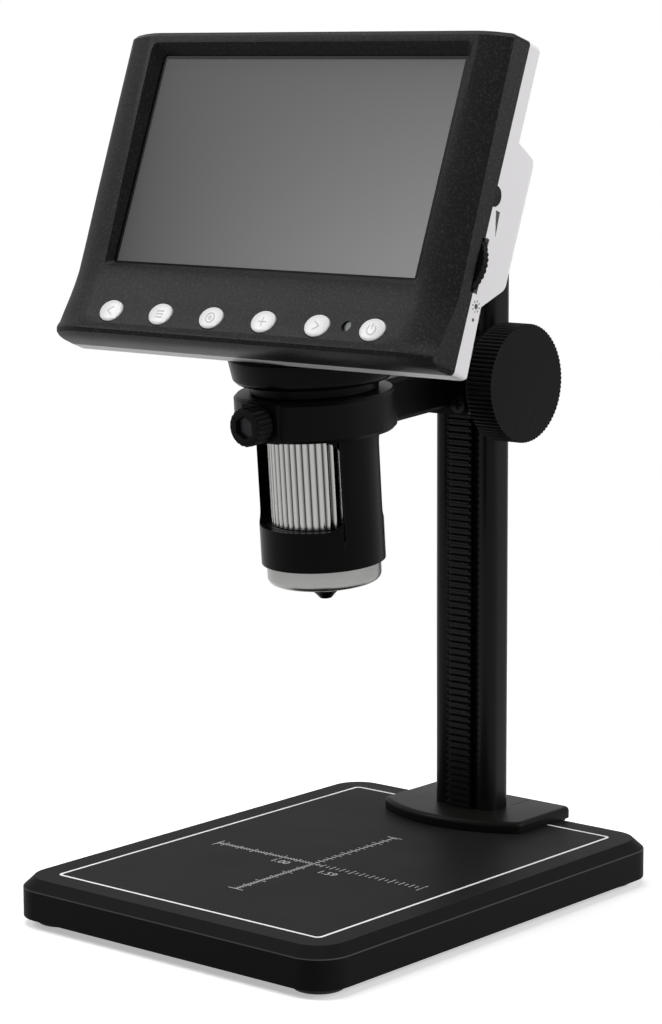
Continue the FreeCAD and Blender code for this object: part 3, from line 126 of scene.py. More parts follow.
room_light = 0.10
world = bpy.data.worlds.new("studio")
bpy.context.scene.world = world
world.use_nodes = True
world.node_tree.nodes.clear()
room = add_node(world.node_tree, "ShaderNodeBackground", {"Color": (1, 1, 1, 1), "Strength": room_light})
backdrop = add_node(world.node_tree, "ShaderNodeBackground", {"Color": (1, 1, 1, 1), "Strength": 1.0})
seen = add_node(world.node_tree, "ShaderNodeMixShader",
                links={0: seen_rays(world.node_tree), 1: room.outputs[0], 2: backdrop.outputs[0]})
add_node(world.node_tree, "ShaderNodeOutputWorld", links={0: seen.outputs[0]})
add_panel("panel_above", (-0.1, -0.15, 1.3), (0, 0, 0.05), 0.9, 0.8, 10.0)
add_panel("panel_left", (-0.97, -0.75, 1.06), (0, 0, 0.14), 0.5, 0.5, 9.0)
add_panel("panel_right", (1.25, 0.5, 0.6), (0, 0, 0.12), 0.7, 0.8, 14.0)

floor_radius, floor_sink = 6.0, 0.0002
floor_glow, fade_start, fade_end = 0.42, 0.16, 0.4
floor_mesh = bpy.data.meshes.new("floor")
floor_form = bmesh.new()
bmesh.ops.create_circle(floor_form, cap_ends=True, segments=96, radius=floor_radius)
bmesh.ops.translate(floor_form, vec=(0, 0, -floor_sink), verts=floor_form.verts)
floor_form.to_mesh(floor_mesh)
floor_form.free()
# Matt paper: a soft shadow close to the object, and plain white from 0.4 m outwards
floor_look = bpy.data.materials.new("floor_paper")
floor_look.use_nodes = True
floor_tree = floor_look.node_tree
floor_tree.nodes.clear()
paper = add_node(floor_tree, "ShaderNodeBsdfDiffuse", {"Color": linear("#f4f4f4")})
glow = add_node(floor_tree, "ShaderNodeEmission", {"Color": (1, 1, 1, 1), "Strength": floor_glow})
both = add_node(floor_tree, "ShaderNodeAddShader", links={0: paper.outputs[0], 1: glow.outputs[0]})
floor_place = add_node(floor_tree, "ShaderNodeTexCoord").outputs["Object"]
floor_reach = add_node(floor_tree, "ShaderNodeVectorMath", links={0: floor_place}, operation="LENGTH")
fade = add_node(floor_tree, "ShaderNodeMapRange", {"From Min": fade_start, "From Max": fade_end},
                {"Value": floor_reach.outputs["Value"]}, interpolation_type="SMOOTHSTEP")
white = add_node(floor_tree, "ShaderNodeEmission", {"Color": (1, 1, 1, 1), "Strength": 1.0})
fading = add_node(floor_tree, "ShaderNodeMixShader",
                  links={0: fade.outputs[0], 1: both.outputs[0], 2: white.outputs[0]})
bounce = add_node(floor_tree, "ShaderNodeBsdfDiffuse", {"Color": linear("#9c9c9c")})
floor_mix = add_node(floor_tree, "ShaderNodeMixShader",
                     links={0: seen_rays(floor_tree), 1: bounce.outputs[0], 2: fading.outputs[0]})
add_node(floor_tree, "ShaderNodeOutputMaterial", links={0: floor_mix.outputs[0]})
floor = add_mesh("floor", floor_mesh, floor_look)


# Base: a moulded box in satin black ABS, open below, with a screwed cover, a steel ballast plate
# and four turned rubber feet. Its top edge has a wide bevel, with a painted highlight as a thin pale line at
# its foot.
def moulded(name, colour, roughness, shine=0.5, grain=0.35, depth=0.006, mottle=0.05, painted_glint=0.0):
    """Moulded plastic: a fine spark-eroded grain, a faint drift of tone, and gloss that varies a little.
    grain and depth are in mm; mottle is the share by which the tone drifts; shine is the specular level;
    painted_glint is how far the tops of the grain go towards a pale grey, as painted glints."""
    drift_size, gloss_drift = 14 * MM, 0.04
    glint_start, glint_full, glint_grey = 0.5, 0.72, "#6c6c6a"
    look = bpy.data.materials.new(name)
    look.use_nodes = True
    tree = look.node_tree
    tree.nodes.clear()
    place = add_node(tree, "ShaderNodeTexCoord").outputs["Object"]
    fine = add_node(tree, "ShaderNodeTexNoise", {"Scale": 1 / (grain * MM), "Detail": 2.0},
                    {"Vector": place})
    broad = add_node(tree, "ShaderNodeTexNoise", {"Scale": 1 / drift_size, "Detail": 3.0},
                     {"Vector": place})
    base = linear(colour)
    dark = [c * (1 - mottle) for c in base[:3]] + [1.0]
    light = [c * (1 + mottle) for c in base[:3]] + [1.0]
    tone = add_node(tree, "ShaderNodeMix", {6: dark, 7: light}, {0: broad.outputs["Fac"]},
                    data_type="RGBA")
    # painted glints: the tops of the fine grain are mixed towards a pale grey
    if painted_glint:
        glint_tops = add_node(tree, "ShaderNodeMapRange",
                        {"From Min": glint_start, "From Max": glint_full, "To Max": painted_glint},
                        {"Value": fine.outputs["Fac"]})
        tone = add_node(tree, "ShaderNodeMix", {7: linear(glint_grey)},
                        {0: glint_tops.outputs[0], 6: tone.outputs[2]}, data_type="RGBA")
    gloss = add_node(tree, "ShaderNodeMapRange",
                     {"To Min": roughness - gloss_drift, "To Max": roughness + gloss_drift},
                     {"Value": broad.outputs["Fac"]})
    bump = add_node(tree, "ShaderNodeBump", {"Strength": 1.0, "Distance": depth * MM},
                    {"Height": fine.outputs["Fac"]})
    shader = add_node(tree, "ShaderNodeBsdfPrincipled", {"Specular IOR Level": shine},
                      {"Base Color": tone.outputs[2], "Roughness": gloss.outputs[0],
                       "Normal": bump.outputs[0]})
    add_node(tree, "ShaderNodeOutputMaterial", links={0: shader.outputs[0]})
    return look


node_bodies = {node: body for body, nodes in frame["record"]["behaviour"]["bodies"].items() for node in nodes}


def finish_node(look, *names):
    """Gives carried-over CAD nodes their material."""
    for name in names:
        mesh = frame["nodes"][name].data
        if mesh.materials:
            for index in range(len(mesh.materials)):
                mesh.materials[index] = look
        else:
            mesh.materials.append(look)


def soften_node(name, look, edge, angle=28, segments=3, smooth=32):
    """A copy of a CAD node with merged points and its sharp edges rounded by edge mm, standing for the node.
    angle is the least bend that is rounded, and smooth the least bend that stays a crease, in degrees."""
    merge, flat_angle = 0.002 * MM, math.radians(0.1)
    mesh = bpy.data.meshes.new(name + "_body")
    form = bmesh.new()
    form.from_mesh(frame["nodes"][name].data)
    bmesh.ops.remove_doubles(form, verts=form.verts, dist=merge)
    bmesh.ops.dissolve_degenerate(form, dist=merge, edges=form.edges)
    bmesh.ops.dissolve_limit(form, angle_limit=flat_angle, verts=form.verts, edges=form.edges)
    bmesh.ops.recalc_face_normals(form, faces=form.faces)
    form.to_mesh(mesh)
    form.free()
    made = add_mesh(name + "_body", mesh, look)
    if edge:
        rounding = made.modifiers.new("rounding", "BEVEL")
        rounding.limit_method = "ANGLE"
        rounding.angle_limit = math.radians(angle)
        rounding.width = edge * MM
        rounding.segments = segments
        rounding.harden_normals = True
        rounding.miter_outer = "MITER_ARC"
    for face in mesh.polygons:
        face.use_smooth = True
    mesh.set_sharp_from_angle(angle=math.radians(smooth))
    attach(made, node_bodies[name])
    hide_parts(name)


def cover_tone(look, colour, share):
    """Lays a colour over a material's own tone, by a share that a socket gives."""
    tree = look.node_tree
    shader = next(n for n in tree.nodes if n.type == "BSDF_PRINCIPLED")
    covered = add_node(tree, "ShaderNodeMix", {7: linear(colour)},
                       {0: share, 6: shader.inputs["Base Color"].links[0].from_socket}, data_type="RGBA")
    tree.links.new(covered.outputs[2], shader.inputs["Base Color"])


# Satin ABS: a deep soft black without sharp reflections, and a painted highlight: a thin pale line at the
# foot of the bevel
base_look = moulded("base_satin_abs", "#191919", 0.5, shine=0.02, grain=0.3, depth=0.004)
bevel_foot, bevel_line, painted_highlight_share = 9.4 * MM, 0.22 * MM, 0.7
base_tree = base_look.node_tree
base_place = add_node(base_tree, "ShaderNodeTexCoord").outputs["Object"]
base_height = add_node(base_tree, "ShaderNodeSeparateXYZ", links={0: base_place})
from_foot = add_node(base_tree, "ShaderNodeMath", {1: bevel_foot}, {0: base_height.outputs[2]},
                     operation="SUBTRACT")
near_foot = add_node(base_tree, "ShaderNodeMath", links={0: from_foot.outputs[0]}, operation="ABSOLUTE")
# painted highlight: a pale grey band laid over the tone along the foot of the bevel
painted_highlight_band = add_node(base_tree, "ShaderNodeMapRange",
                  {"From Max": bevel_line, "To Min": painted_highlight_share, "To Max": 0.0},
                  {"Value": near_foot.outputs[0]}, interpolation_type="SMOOTHSTEP")
cover_tone(base_look, "#5c5c5c", painted_highlight_band.outputs[0])
soften_node("base_top_shell", base_look, 0.5)
# Plain ABS: a similar black with a fuller sheen
cover_look = moulded("base_cover_abs", "#161617", 0.5)
finish_node(cover_look, "base_bottom_cover")
# Rubber: nearly black and dull, with a coarse skin
rubber_look = moulded("foot_rubber", "#121212", 0.8, grain=0.6, depth=0.01, mottle=0.1)
soften_node("rubber_feet", rubber_look, 0.3)


def metal(name, colour, roughness, stretch=(1, 1, 1), grain=0.3, depth=0.002, metallic=1.0, shine=0.5):
    """Bare or plated metal: fine tool lines drawn out along the axes that stretch makes small, and a mild
    drift of gloss. grain and depth are in mm."""
    line_tone, gloss_drift = 0.9, 0.06
    look = bpy.data.materials.new(name)
    look.use_nodes = True
    tree = look.node_tree
    tree.nodes.clear()
    place = add_node(tree, "ShaderNodeTexCoord").outputs["Object"]
    drawn = add_node(tree, "ShaderNodeMapping", {"Scale": stretch}, {"Vector": place})
    lines = add_node(tree, "ShaderNodeTexNoise", {"Scale": 1 / (grain * MM), "Detail": 3.0},
                     {"Vector": drawn.outputs[0]})
    base = linear(colour)
    dark = [c * line_tone for c in base[:3]] + [1.0]
    tone = add_node(tree, "ShaderNodeMix", {6: dark, 7: base}, {0: lines.outputs["Fac"]}, data_type="RGBA")
    gloss = add_node(tree, "ShaderNodeMapRange",
                     {"To Min": roughness - gloss_drift, "To Max": roughness + gloss_drift},
                     {"Value": lines.outputs["Fac"]})
    bump = add_node(tree, "ShaderNodeBump", {"Strength": 1.0, "Distance": depth * MM},
                    {"Height": lines.outputs["Fac"]})
    shader = add_node(tree, "ShaderNodeBsdfPrincipled",
                      {"Metallic": metallic, "Specular IOR Level": shine},
                      {"Base Color": tone.outputs[2], "Roughness": gloss.outputs[0],
                       "Normal": bump.outputs[0]})
    add_node(tree, "ShaderNodeOutputMaterial", links={0: shader.outputs[0]})
    return look


# Zinc plate: a cool grey metal with a medium gloss
zinc_look = metal("zinc_plated_screw", "#9c9ea2", 0.34, grain=0.2)
finish_node(zinc_look, "base_screws", "stand_screws")
# Rolled steel: a dull grey metal drawn out in long lines
steel_look = metal("rolled_ballast_steel", "#8a8a8c", 0.5, stretch=(1, 0.05, 1), grain=0.5, depth=0.004)
finish_node(steel_look, "ballast_plate")


# Base print: a white silk-screened frame line and a measuring cross with two scales, printed on the top
# of the base. The ink is satin and 0.02 mm thick.
# Screen ink: flat white for the frame line, and a light grey for the scales and their figures
print_look = moulded("white_screen_ink", "#efefef", 0.55, grain=0.2, depth=0.002)
scale_look = moulded("grey_scale_ink", "#c4c4c4", 0.55, grain=0.2, depth=0.002)
base_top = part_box("base_top_shell")[1][2]
ink_thickness = 0.02 * MM
cross_y = -10.4


def add_block(form, low, high):
    """A rectangular block between two corners in mm, added to a mesh."""
    low, high = Vector(low) * MM, Vector(high) * MM
    size = Matrix.Diagonal(high - low).to_4x4()
    bmesh.ops.create_cube(form, size=1.0, matrix=Matrix.Translation((low + high) / 2) @ size)


def rounded_loop(half_x, half_y, radius, z, steps=6):
    """Points of a rectangle with rounded corners about the origin, in mm."""
    points = []
    for sx, sy, start in ((1, 1, 0), (-1, 1, 90), (-1, -1, 180), (1, -1, 270)):
        for i in range(steps + 1):
            turn = math.radians(start + 90 * i / steps)
            points.append((sx * (half_x - radius) + radius * math.cos(turn),
                           sy * (half_y - radius) + radius * math.sin(turn), z))
    return points


def finish_form(name, form, look, body):
    """Ends a mesh piece: makes it an object that rides on a body and carries a material slot."""
    bmesh.ops.recalc_face_normals(form, faces=form.faces)
    mesh = bpy.data.meshes.new(name)
    form.to_mesh(mesh)
    form.free()
    made = add_mesh(name, mesh, look)
    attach(made, body)


line_form = bmesh.new()
line_half_x, line_half_y, line_width, line_radius = 42.85, 58.5, 0.75, 1.6
inner_tightening = 0.6
ink_low, ink_high = base_top / MM, (base_top + ink_thickness) / MM
loops = []
for inset in (0.0, line_width):
    for z in (ink_low, ink_high):
        ring = rounded_loop(line_half_x - inset, line_half_y - inset,
                            line_radius - inset * inner_tightening, z)
        loops.append([line_form.verts.new((x * MM, y * MM, h * MM)) for x, y, h in ring])
for first, second in ((0, 1), (1, 3), (3, 2), (2, 0)):
    for i in range(len(loops[0])):
        j = (i + 1) % len(loops[0])
        line_form.faces.new((loops[first][i], loops[first][j], loops[second][j], loops[second][i]))
finish_form("base_frame_line", line_form, print_look, "stand")

scale_form = bmesh.new()
arm_line, tick_line, past_crossing = 0.24, 0.24, 3.0
fine_step, coarse_step = 1.0, 25.4 / 16
long_half, middle_half, short_half, end_half = 1.7, 1.3, 0.75, 2.4
arm_reach = {(-1, 0): 32.3, (1, 0): 35.0, (0, -1): 29.2, (0, 1): 32.5}
add_block(scale_form, (-arm_reach[(-1, 0)], cross_y - arm_line / 2, ink_low),
          (past_crossing, cross_y + arm_line / 2, ink_high))
add_block(scale_form, (-arm_line / 2, cross_y - arm_reach[(0, -1)], ink_low),
          (arm_line / 2, cross_y + arm_reach[(0, 1)], ink_high))
for direction, step, long_every, middle_every in (((-1, 0), fine_step, 10, 5), ((1, 0), coarse_step, 8, 2),
                                                  ((0, -1), fine_step, 10, 5), ((0, 1), coarse_step, 8, 2)):
    reach = arm_reach[direction]
    places = [step * number for number in range(1, int(reach / step) + 1)]
    halves = [long_half if number % long_every == 0 else
              middle_half if number % middle_every == 0 else short_half
              for number in range(1, len(places) + 1)]
    for along, half in zip(places + [reach], halves + [end_half]):
        x, y = direction[0] * along, cross_y + direction[1] * along
        across_x, across_y = (tick_line / 2, half) if direction[0] else (half, tick_line / 2)
        add_block(scale_form, (x - across_x, y - across_y, ink_low), (x + across_x, y + across_y, ink_high))
finish_form("base_scale_cross", scale_form, scale_look, "stand")


def add_number(name, text, centre):
    """Printed figures lying on the base about a centre in mm, as a thin mesh."""
    curve = bpy.data.curves.new(name, "FONT")
    curve.body = text
    curve.size = figure_size * MM
    curve.align_x = "CENTER"
    curve.align_y = "CENTER"
    curve.extrude = ink_thickness / 2
    holder = bpy.data.objects.new(name, curve)
    bpy.context.scene.collection.objects.link(holder)
    graph = bpy.context.evaluated_depsgraph_get()
    mesh = bpy.data.meshes.new_from_object(holder.evaluated_get(graph))
    bpy.data.objects.remove(holder)
    mesh.transform(Matrix.Translation((centre[0] * MM, centre[1] * MM, base_top + ink_thickness / 2)))
    mesh.materials.clear()
    made = add_mesh(name, mesh, scale_look)
    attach(made, "stand")


figure_size = 3.4
add_number("base_figure_fine_step", "1.00", (-8.0, cross_y - 3.6))
add_number("base_figure_coarse_step", "1.59", (8.4, cross_y - 4.6))


# Column: a bracket in polished black ABS carries a black anodised extrusion with an acetal rack strip
# in its front groove and a moulded cap on top.
# Polished ABS: a smooth black with a weak, soft reflection
bracket_look = moulded("bracket_gloss_abs", "#10100f", 0.38, shine=0.05, grain=0.8, depth=0.001, mottle=0.03)
soften_node("column_bracket", bracket_look, 0.35)
# Shadow line: the flat black of a narrow gap
seam_look = moulded("shadow_line", "#030303", 0.8, shine=0.1)
bracket_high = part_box("column_bracket")[1]
column_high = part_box("column_post")[1]
seam_form = bmesh.new()
seam_x, seam_width, seam_end, seam_depth, seam_proud = 9.9, 0.25, 1.6, 0.02, 0.01
for side in (-1, 1):
    middle = side * seam_x
    add_block(seam_form, (middle - seam_width / 2, column_high[1] / MM, bracket_high[2] / MM - seam_depth),
              (middle + seam_width / 2, bracket_high[1] / MM - seam_end, bracket_high[2] / MM + seam_proud))
finish_form("bracket_seams", seam_form, seam_look, "stand")
# Black anodising: near black with fine drawn lines along the column and a low sheen
column_look = metal("black_anodised_extrusion", "#080908", 0.3, stretch=(1, 1, 0.02), grain=0.5,
                    depth=0.003, metallic=0.0, shine=0.1)
soften_node("column_post", column_look, 0.0)
# Satin ABS: the stand's moulded black, a little deeper than the base's
stand_look = moulded("stand_satin_abs", "#070707", 0.38, shine=0.06)
soften_node("column_top_cap", stand_look, 0.2)
# Black acetal: a waxy black that catches light on the teeth
acetal_look = moulded("rack_black_acetal", "#0a0a0a", 0.34, shine=0.12, grain=0.5, depth=0.003)
finish_node(acetal_look, "column_rack", "wheel_bushes")


# Carriage: a moulded block round the column, closed behind by a screwed cover. A nylon pad presses
# on the column, and a plated shaft with a brass pinion runs across it to the rack.
soften_node("carriage_housing", stand_look, 0.4)
soften_node("carriage_rear_cover", stand_look, 0.3)
# Natural nylon: a warm off-white, slightly dull
nylon_look = moulded("natural_nylon", "#d9d5c6", 0.45, grain=0.5, depth=0.004)
finish_node(nylon_look, "friction_pad", "knob_washer")
finish_node(zinc_look, "pinion_shaft", "shaft_clip")
# Black oxide: a dark metal with a soft gleam
black_screw_look = metal("black_oxide_screw", "#2b2b2d", 0.35, grain=0.2)
finish_node(black_screw_look, "carriage_screws", "arm_screws")
# Machined brass: a warm yellow metal with a fine grain
brass_look = metal("machined_brass", "#b8923f", 0.3, grain=0.25)
finish_node(brass_look, "drive_pinion", "clamp_insert")


# Focus knob: a ribbed wheel moulded in ABS. It turns with the pinion shaft, on the shaft's right end.
# Fine matt ABS: a dry black whose ribs show by their shadows
knob_look = moulded("knob_matt_abs", "#0b0c0b", 0.5, shine=0.05, grain=0.3, depth=0.006)
soften_node("focus_knob", knob_look, 0.12, angle=40, segments=2, smooth=40)


# Arm and clamp: the arm and ring are one satin moulding, screwed to the carriage. A small toothed knob
# turns a steel screw in a brass insert and closes the ring on the barrel.
soften_node("focus_arm", stand_look, 0.35)
soften_node("clamp_knob", knob_look, 0.1, angle=40, segments=2, smooth=40)
finish_node(black_screw_look, "clamp_screw")


# Barrel: neck and tube are semi gloss black mouldings; a bright knurled focus wheel shows in the windows,
# and a satin aluminium nose ring closes the lower end round the light window and the lens tip.
# Gloss ABS: a very deep black with narrow highlights down the tube
barrel_look = moulded("barrel_gloss_abs", "#040404", 0.3, shine=0.05, grain=0.5, depth=0.002)
soften_node("barrel_neck", barrel_look, 0.3)
soften_node("barrel_tube", barrel_look, 0.2)
soften_node("lens_carrier", barrel_look, 0.15)
# Bright knurling: polished ribs, with painted shade in the flutes between them, which read as black lines
wheel_look = metal("bright_knurled_wheel", "#b4b4b2", 0.2, stretch=(1, 1, 0.1), grain=0.3)
wheel_axis, wheel_centre = (0.0, -0.07672, 0.99705), (0.0, -8.7 * MM, 127.0 * MM)
flute_floor, flute_top = 11.72 * MM, 12.3 * MM
wheel_tree = wheel_look.node_tree
wheel_place = add_node(wheel_tree, "ShaderNodeTexCoord").outputs["Object"]
wheel_arm = add_node(wheel_tree, "ShaderNodeVectorMath", {1: wheel_centre}, {0: wheel_place},
                     operation="SUBTRACT")
wheel_turn = add_node(wheel_tree, "ShaderNodeVectorMath", {1: wheel_axis}, {0: wheel_arm.outputs[0]},
                      operation="CROSS_PRODUCT")
wheel_reach = add_node(wheel_tree, "ShaderNodeVectorMath", links={0: wheel_turn.outputs[0]},
                       operation="LENGTH")
# painted shade: the tone goes near black towards the floor of each flute
flute_painted_shade = add_node(wheel_tree, "ShaderNodeMapRange",
                    {"From Min": flute_floor, "From Max": flute_top, "To Min": 1.0, "To Max": 0.0},
                    {"Value": wheel_reach.outputs["Value"]})
cover_tone(wheel_look, "#1b1b1b", flute_painted_shade.outputs[0])
soften_node("focus_wheel", wheel_look, 0.0, smooth=24)
# Turned aluminium: a soft grey metal with fine rings
nose_look = metal("satin_turned_aluminium", "#8f8f8d", 0.3, stretch=(0.05, 0.05, 1), grain=0.3, depth=0.001)
soften_node("nose_ring", nose_look, 0.12)


def clear(name, colour, roughness, transmission, ior=1.49):
    """Clear or milky moulding: light passes through, with faint waves in its surface."""
    wave_size, wave_depth, wave_strength = 3 * MM, 0.002 * MM, 0.3
    look = bpy.data.materials.new(name)
    look.use_nodes = True
    tree = look.node_tree
    tree.nodes.clear()
    place = add_node(tree, "ShaderNodeTexCoord").outputs["Object"]
    waves = add_node(tree, "ShaderNodeTexNoise", {"Scale": 1 / wave_size, "Detail": 1.0}, {"Vector": place})
    bump = add_node(tree, "ShaderNodeBump", {"Strength": wave_strength, "Distance": wave_depth},
                    {"Height": waves.outputs["Fac"]})
    shader = add_node(tree, "ShaderNodeBsdfPrincipled",
                      {"Base Color": linear(colour), "Roughness": roughness,
                       "Transmission Weight": transmission, "IOR": ior}, {"Normal": bump.outputs[0]})
    add_node(tree, "ShaderNodeOutputMaterial", links={0: shader.outputs[0]})
    return look


# Acrylic: a nearly invisible light window
acrylic_look = clear("clear_acrylic", "#eef2f2", 0.05, 0.9)
finish_node(acrylic_look, "nose_window")
# Lens glass: clear with a faint cool tint
lens_look = clear("lens_glass", "#e8f4f2", 0.02, 0.95, 1.52)
finish_node(lens_look, "objective_lenses")
# Lamp resin: milky and slightly yellow
led_look = clear("led_resin", "#f2eec2", 0.3, 0.4)
finish_node(led_look, "illumination_leds")
# Solder mask: a glossy uneven green
mask_look = moulded("green_solder_mask", "#14532f", 0.3, grain=0.8, depth=0.004, mottle=0.12)
finish_node(mask_look, "sensor_board", "led_ring_board", "main_board", "keypad_board")
# Epoxy: the flat dark grey of chips and switches
chip_look = moulded("black_epoxy", "#1a1a1b", 0.5, grain=0.2)
finish_node(chip_look, "image_sensor", "board_chips", "tact_switches", "dimmer_pot")
finish_node(zinc_look, "neck_screws", "board_screws", "rear_screws")


# Front bezel: a crowned ABS shell with a lip along its lower edge. It closes the head's front against
# the rear shell, and carries the screen and the small indicator.
# Spark-textured ABS: a dark grey with painted glints, pale specks on the tops of its grain
bezel_look = moulded("bezel_textured_abs", "#1a1b1a", 0.38, shine=0.06, grain=0.55, depth=0.03,
                     mottle=0.16, painted_glint=0.15)
soften_node("front_bezel", bezel_look, 0.3, angle=30, smooth=24)
# Indicator: a small smoky grey lens
indicator_look = clear("indicator_lens", "#8d9493", 0.15, 0.5)
finish_node(indicator_look, "indicator_lens")


# Screen: an LCD behind a satin polariser. The lit-size area is grey, paled towards one corner by a painted
# reflection;
# the margin of the glass is black.
head_tilt = math.radians(20.94)
head_y, head_z = -19.38, 187.63
head_axes = (Matrix.Translation((0, head_y * MM, head_z * MM)) @ Matrix.Rotation(-head_tilt, 4, "X"))


def in_head(form):
    """Moves a mesh from the head's axes, X across, Y to the back and Z up the screen, to the row frame."""
    bmesh.ops.transform(form, matrix=head_axes, verts=form.verts)


# Black margin: the smooth dark border of the glass
glass_look = moulded("lcd_black_margin", "#050506", 0.2, shine=0.03, grain=2.0, depth=0.0005, mottle=0.02)
finish_node(glass_look, "lcd_panel")
# Polariser: a dull grey with a painted reflection of a bright room that pales it towards the lower right
across_curve, top_share, polariser_grain = 0.8, 0.28, 0.25
screen_look = bpy.data.materials.new("lcd_polariser_painted_reflection")
screen_look.use_nodes = True
screen_tree = screen_look.node_tree
screen_tree.nodes.clear()
screen_place = add_node(screen_tree, "ShaderNodeUVMap", uv_map="screen")
screen_parts = add_node(screen_tree, "ShaderNodeSeparateXYZ", links={0: screen_place.outputs[0]})
across = add_node(screen_tree, "ShaderNodeMath", {1: across_curve}, {0: screen_parts.outputs[0]},
                  operation="POWER")
down = add_node(screen_tree, "ShaderNodeMapRange", {"To Min": 1.0, "To Max": top_share},
                {"Value": screen_parts.outputs[1]})
painted_reflection_share = add_node(screen_tree, "ShaderNodeMath", links={0: across.outputs[0], 1: down.outputs[0]},
                 operation="MULTIPLY")
# painted reflection: the grey goes paler towards the lower right of the screen
screen_painted_reflection_tone = add_node(screen_tree, "ShaderNodeMix", {6: linear("#2c2c2e"), 7: linear("#939394")},
                       {0: painted_reflection_share.outputs[0]}, data_type="RGBA")
screen_grain = add_node(screen_tree, "ShaderNodeTexNoise",
                        {"Scale": 1 / (polariser_grain * MM), "Detail": 1.0},
                        {"Vector": add_node(screen_tree, "ShaderNodeTexCoord").outputs["Object"]})
screen_bump = add_node(screen_tree, "ShaderNodeBump", {"Strength": 0.5, "Distance": 0.001 * MM},
                       {"Height": screen_grain.outputs["Fac"]})
screen_shader = add_node(screen_tree, "ShaderNodeBsdfPrincipled",
                         {"Roughness": 0.42, "Specular IOR Level": 0.2},
                         {"Base Color": screen_painted_reflection_tone.outputs[2], "Normal": screen_bump.outputs[0]})
add_node(screen_tree, "ShaderNodeOutputMaterial", links={0: screen_shader.outputs[0]})
screen_half_width, screen_top, screen_bottom, screen_lift = 47.52, 26.4, -26.6, 0.04
screen_form = bmesh.new()
add_block(screen_form, (-screen_half_width, -screen_lift, screen_bottom),
          (screen_half_width, 0.0, screen_top))
screen_uv = screen_form.loops.layers.uv.new("screen")
for face in screen_form.faces:
    for corner in face.loops:
        spot = corner.vert.co / MM
        corner[screen_uv].uv = ((spot.x + screen_half_width) / (2 * screen_half_width),
                                (spot.z - screen_bottom) / (screen_top - screen_bottom))
in_head(screen_form)
finish_form("screen_active_area", screen_form, screen_look, "head")
# Pressed tray: plain light grey sheet metal
tray_look = metal("pressed_backlight_tray", "#a9abad", 0.4, grain=0.6)
finish_node(tray_look, "lcd_backlight")


# Key caps: six moulded oval buttons, held by a flange behind the bezel and resting on their switches.
# Each has a fine grey icon on its dome.
# Silver-white ABS: a bright smooth plastic with a soft highlight on the dome
key_look = moulded("key_silver_abs", "#dededf", 0.3, grain=0.25, depth=0.002, mottle=0.02)
for number in range(1, 7):
    soften_node("key_cap_%d" % number, key_look, 0.2)

# Icon ink: a grey only a little darker than the cap
icon_look = moulded("key_icon_grey", "#b4b4b8", 0.4, grain=0.25, depth=0.002)
dome_radius, dome_v, dome_u, icon_proud, key_u = 24.0, 19.449, -45.018, 0.03, -40.5


def icon_stroke(form, key_x, points, width=0.32):
    """A stroke of an icon through points in mm about the key's middle, laid on the key's dome."""
    rows = []
    for i, (x, u) in enumerate(points):
        before, after = points[max(i - 1, 0)], points[min(i + 1, len(points) - 1)]
        along = Vector((after[0] - before[0], after[1] - before[1])).normalized()
        side = Vector((-along.y, along.x)) * width / 2
        row = []
        for sign in (-1, 1):
            px, pu = x + sign * side.x, key_u + u + sign * side.y
            drop = math.sqrt(dome_radius ** 2 - px ** 2 - (pu - dome_u) ** 2)
            for lift in (0.0, icon_proud):
                row.append(form.verts.new(((key_x + px) * MM, (dome_v - drop - lift) * MM, pu * MM)))
        rows.append(row)
    for first, second in zip(rows, rows[1:]):
        for a, b in ((0, 1), (1, 3), (3, 2), (2, 0)):
            form.faces.new((first[a], first[b], second[b], second[a]))
    for row in (rows[0], rows[-1]):
        form.faces.new((row[0], row[1], row[3], row[2]))


def arc(radius, start, end, steps):
    """Points on an arc about the origin, between two angles in degrees."""
    turns = [math.radians(start + (end - start) * i / steps) for i in range(steps + 1)]
    return [(radius * math.cos(t), radius * math.sin(t)) for t in turns]


# From the left: back, menu, record, add, forward, power
icons = {1: [[(0.8, 1.1), (-0.9, 0.0), (0.8, -1.1)]],
         2: [[(-1.2, u), (1.2, u)] for u in (0.8, 0.0, -0.8)],
         3: [arc(1.25, 0, 360, 24), arc(0.4, 0, 360, 12)],
         4: [[(0.0, 1.2), (0.0, -1.2)], [(-1.2, 0.0), (1.2, 0.0)]],
         5: [[(-0.8, 1.1), (0.9, 0.0), (-0.8, -1.1)]],
         6: [arc(1.25, 125, 415, 20), [(0.0, 1.6), (0.0, 0.2)]]}


def follow(points, step=0.2):
    """The same line with a point every step mm, so that it can bend with the dome."""
    closer = [points[0]]
    for (x0, u0), (x1, u1) in zip(points, points[1:]):
        count = max(1, math.ceil(math.hypot(x1 - x0, u1 - u0) / step))
        closer += [(x0 + (x1 - x0) * i / count, u0 + (u1 - u0) * i / count) for i in range(1, count + 1)]
    return closer


for number, strokes in icons.items():
    low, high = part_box("key_cap_%d" % number)
    icon_form = bmesh.new()
    for stroke in strokes:
        icon_stroke(icon_form, (low[0] + high[0]) / 2 / MM, follow(stroke))
    in_head(icon_form)
    finish_form("key_icon_%d" % number, icon_form, icon_look, "key_%d" % number)


# Rear shell: the white half of the head, with the battery bulge and the hump that carries the barrel,
# screwed to the bezel. Its right side has the dimmer wheel, a printed taper mark and a brightness mark.
# White ABS: an even, slightly cool white with a soft sheen
shell_look = moulded("shell_white_abs", "#e2e0e2", 0.42, grain=0.35, depth=0.005, mottle=0.015)
soften_node("rear_shell", shell_look, 0.35, angle=16, smooth=12)
soften_node("dimmer_wheel", knob_look, 0.0, smooth=20)
# Pad ink: flat black marks on the white shell
side_ink_look = moulded("black_pad_ink", "#161617", 0.5, grain=0.2, depth=0.002)
side_x, side_ink = 61.5, 0.02


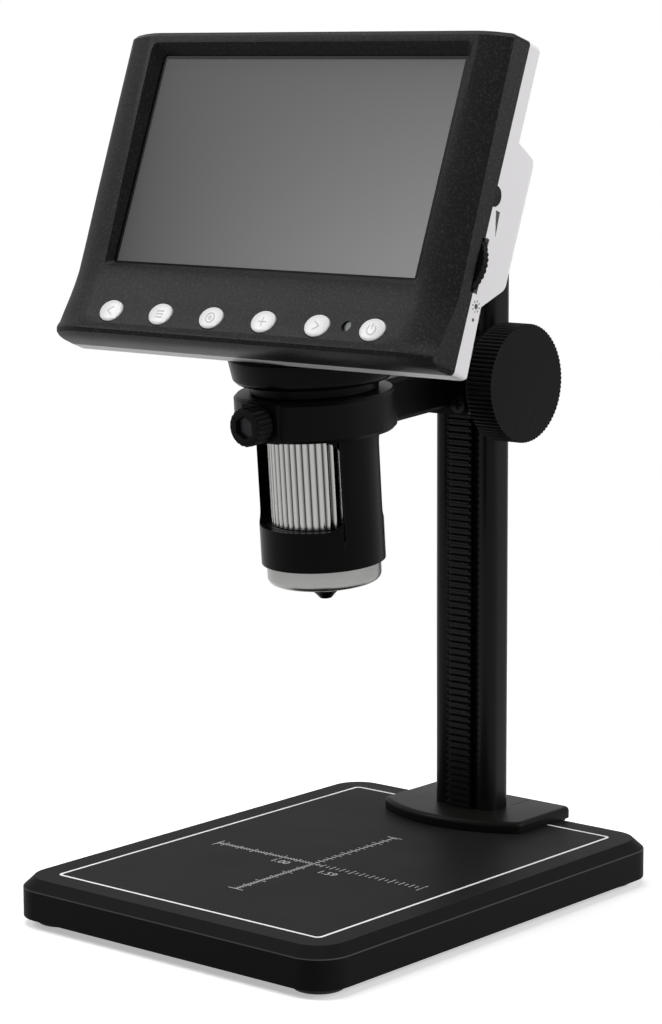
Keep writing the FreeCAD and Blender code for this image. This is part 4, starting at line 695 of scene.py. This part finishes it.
def side_shape(form, points):
    """A flat printed shape on the head's right side through points (V, U) in mm."""
    low = [form.verts.new((side_x * MM, v * MM, u * MM)) for v, u in points]
    high = [form.verts.new(((side_x + side_ink) * MM, v * MM, u * MM)) for v, u in points]
    form.faces.new(low)
    form.faces.new(high[::-1])
    for i in range(len(points)):
        j = (i + 1) % len(points)
        form.faces.new((low[i], low[j], high[j], high[i]))


taper_form = bmesh.new()
side_shape(taper_form, [(5.9, -7.8), (7.5, -7.8), (7.9, -13.6)])
in_head(taper_form)
finish_form("dimmer_taper_mark", taper_form, side_ink_look, "head")

sun_v, sun_u, sun_radius, ray_start, ray_end, ray_width = 6.75, -30.6, 0.62, 0.95, 1.5, 0.24
ray_count, dot_drop, dot_radius = 8, 3.2, 0.4
sun_form = bmesh.new()
side_shape(sun_form, [(sun_v + x, sun_u + u) for x, u in arc(sun_radius, 0, 345, 23)])
for i in range(ray_count):
    turn = math.radians(360 / ray_count * i)
    way, side = (math.cos(turn), math.sin(turn)), (-math.sin(turn), math.cos(turn))
    side_shape(sun_form, [(sun_v + way[0] * r + side[0] * w, sun_u + way[1] * r + side[1] * w)
                          for r, w in ((ray_start, -ray_width / 2), (ray_end, -ray_width / 2),
                                       (ray_end, ray_width / 2), (ray_start, ray_width / 2))])
side_shape(sun_form, [(sun_v + x, sun_u - dot_drop + u) for x, u in arc(dot_radius, 0, 340, 17)])
in_head(sun_form)
finish_form("dimmer_light_mark", sun_form, side_ink_look, "head")


# Electronics: two sockets, which show in the head's left side, the battery pouch in the bulge, and the
# flex cable that runs up the neck from the sensor board.
# Nickel plate: a warm bright metal
socket_look = metal("nickel_socket", "#b9b9b7", 0.25, grain=0.4)
finish_node(socket_look, "board_sockets")
# Foil pouch: a dull silver with faint creases
pouch_look = metal("battery_foil_pouch", "#8f959b", 0.4, grain=1.5, depth=0.01)
finish_node(pouch_look, "battery_pack")
# Polyimide: an amber, glossy film
flex_look = moulded("polyimide_flex", "#b06a1e", 0.25, grain=1.0, depth=0.002)
finish_node(flex_look, "sensor_ribbon")
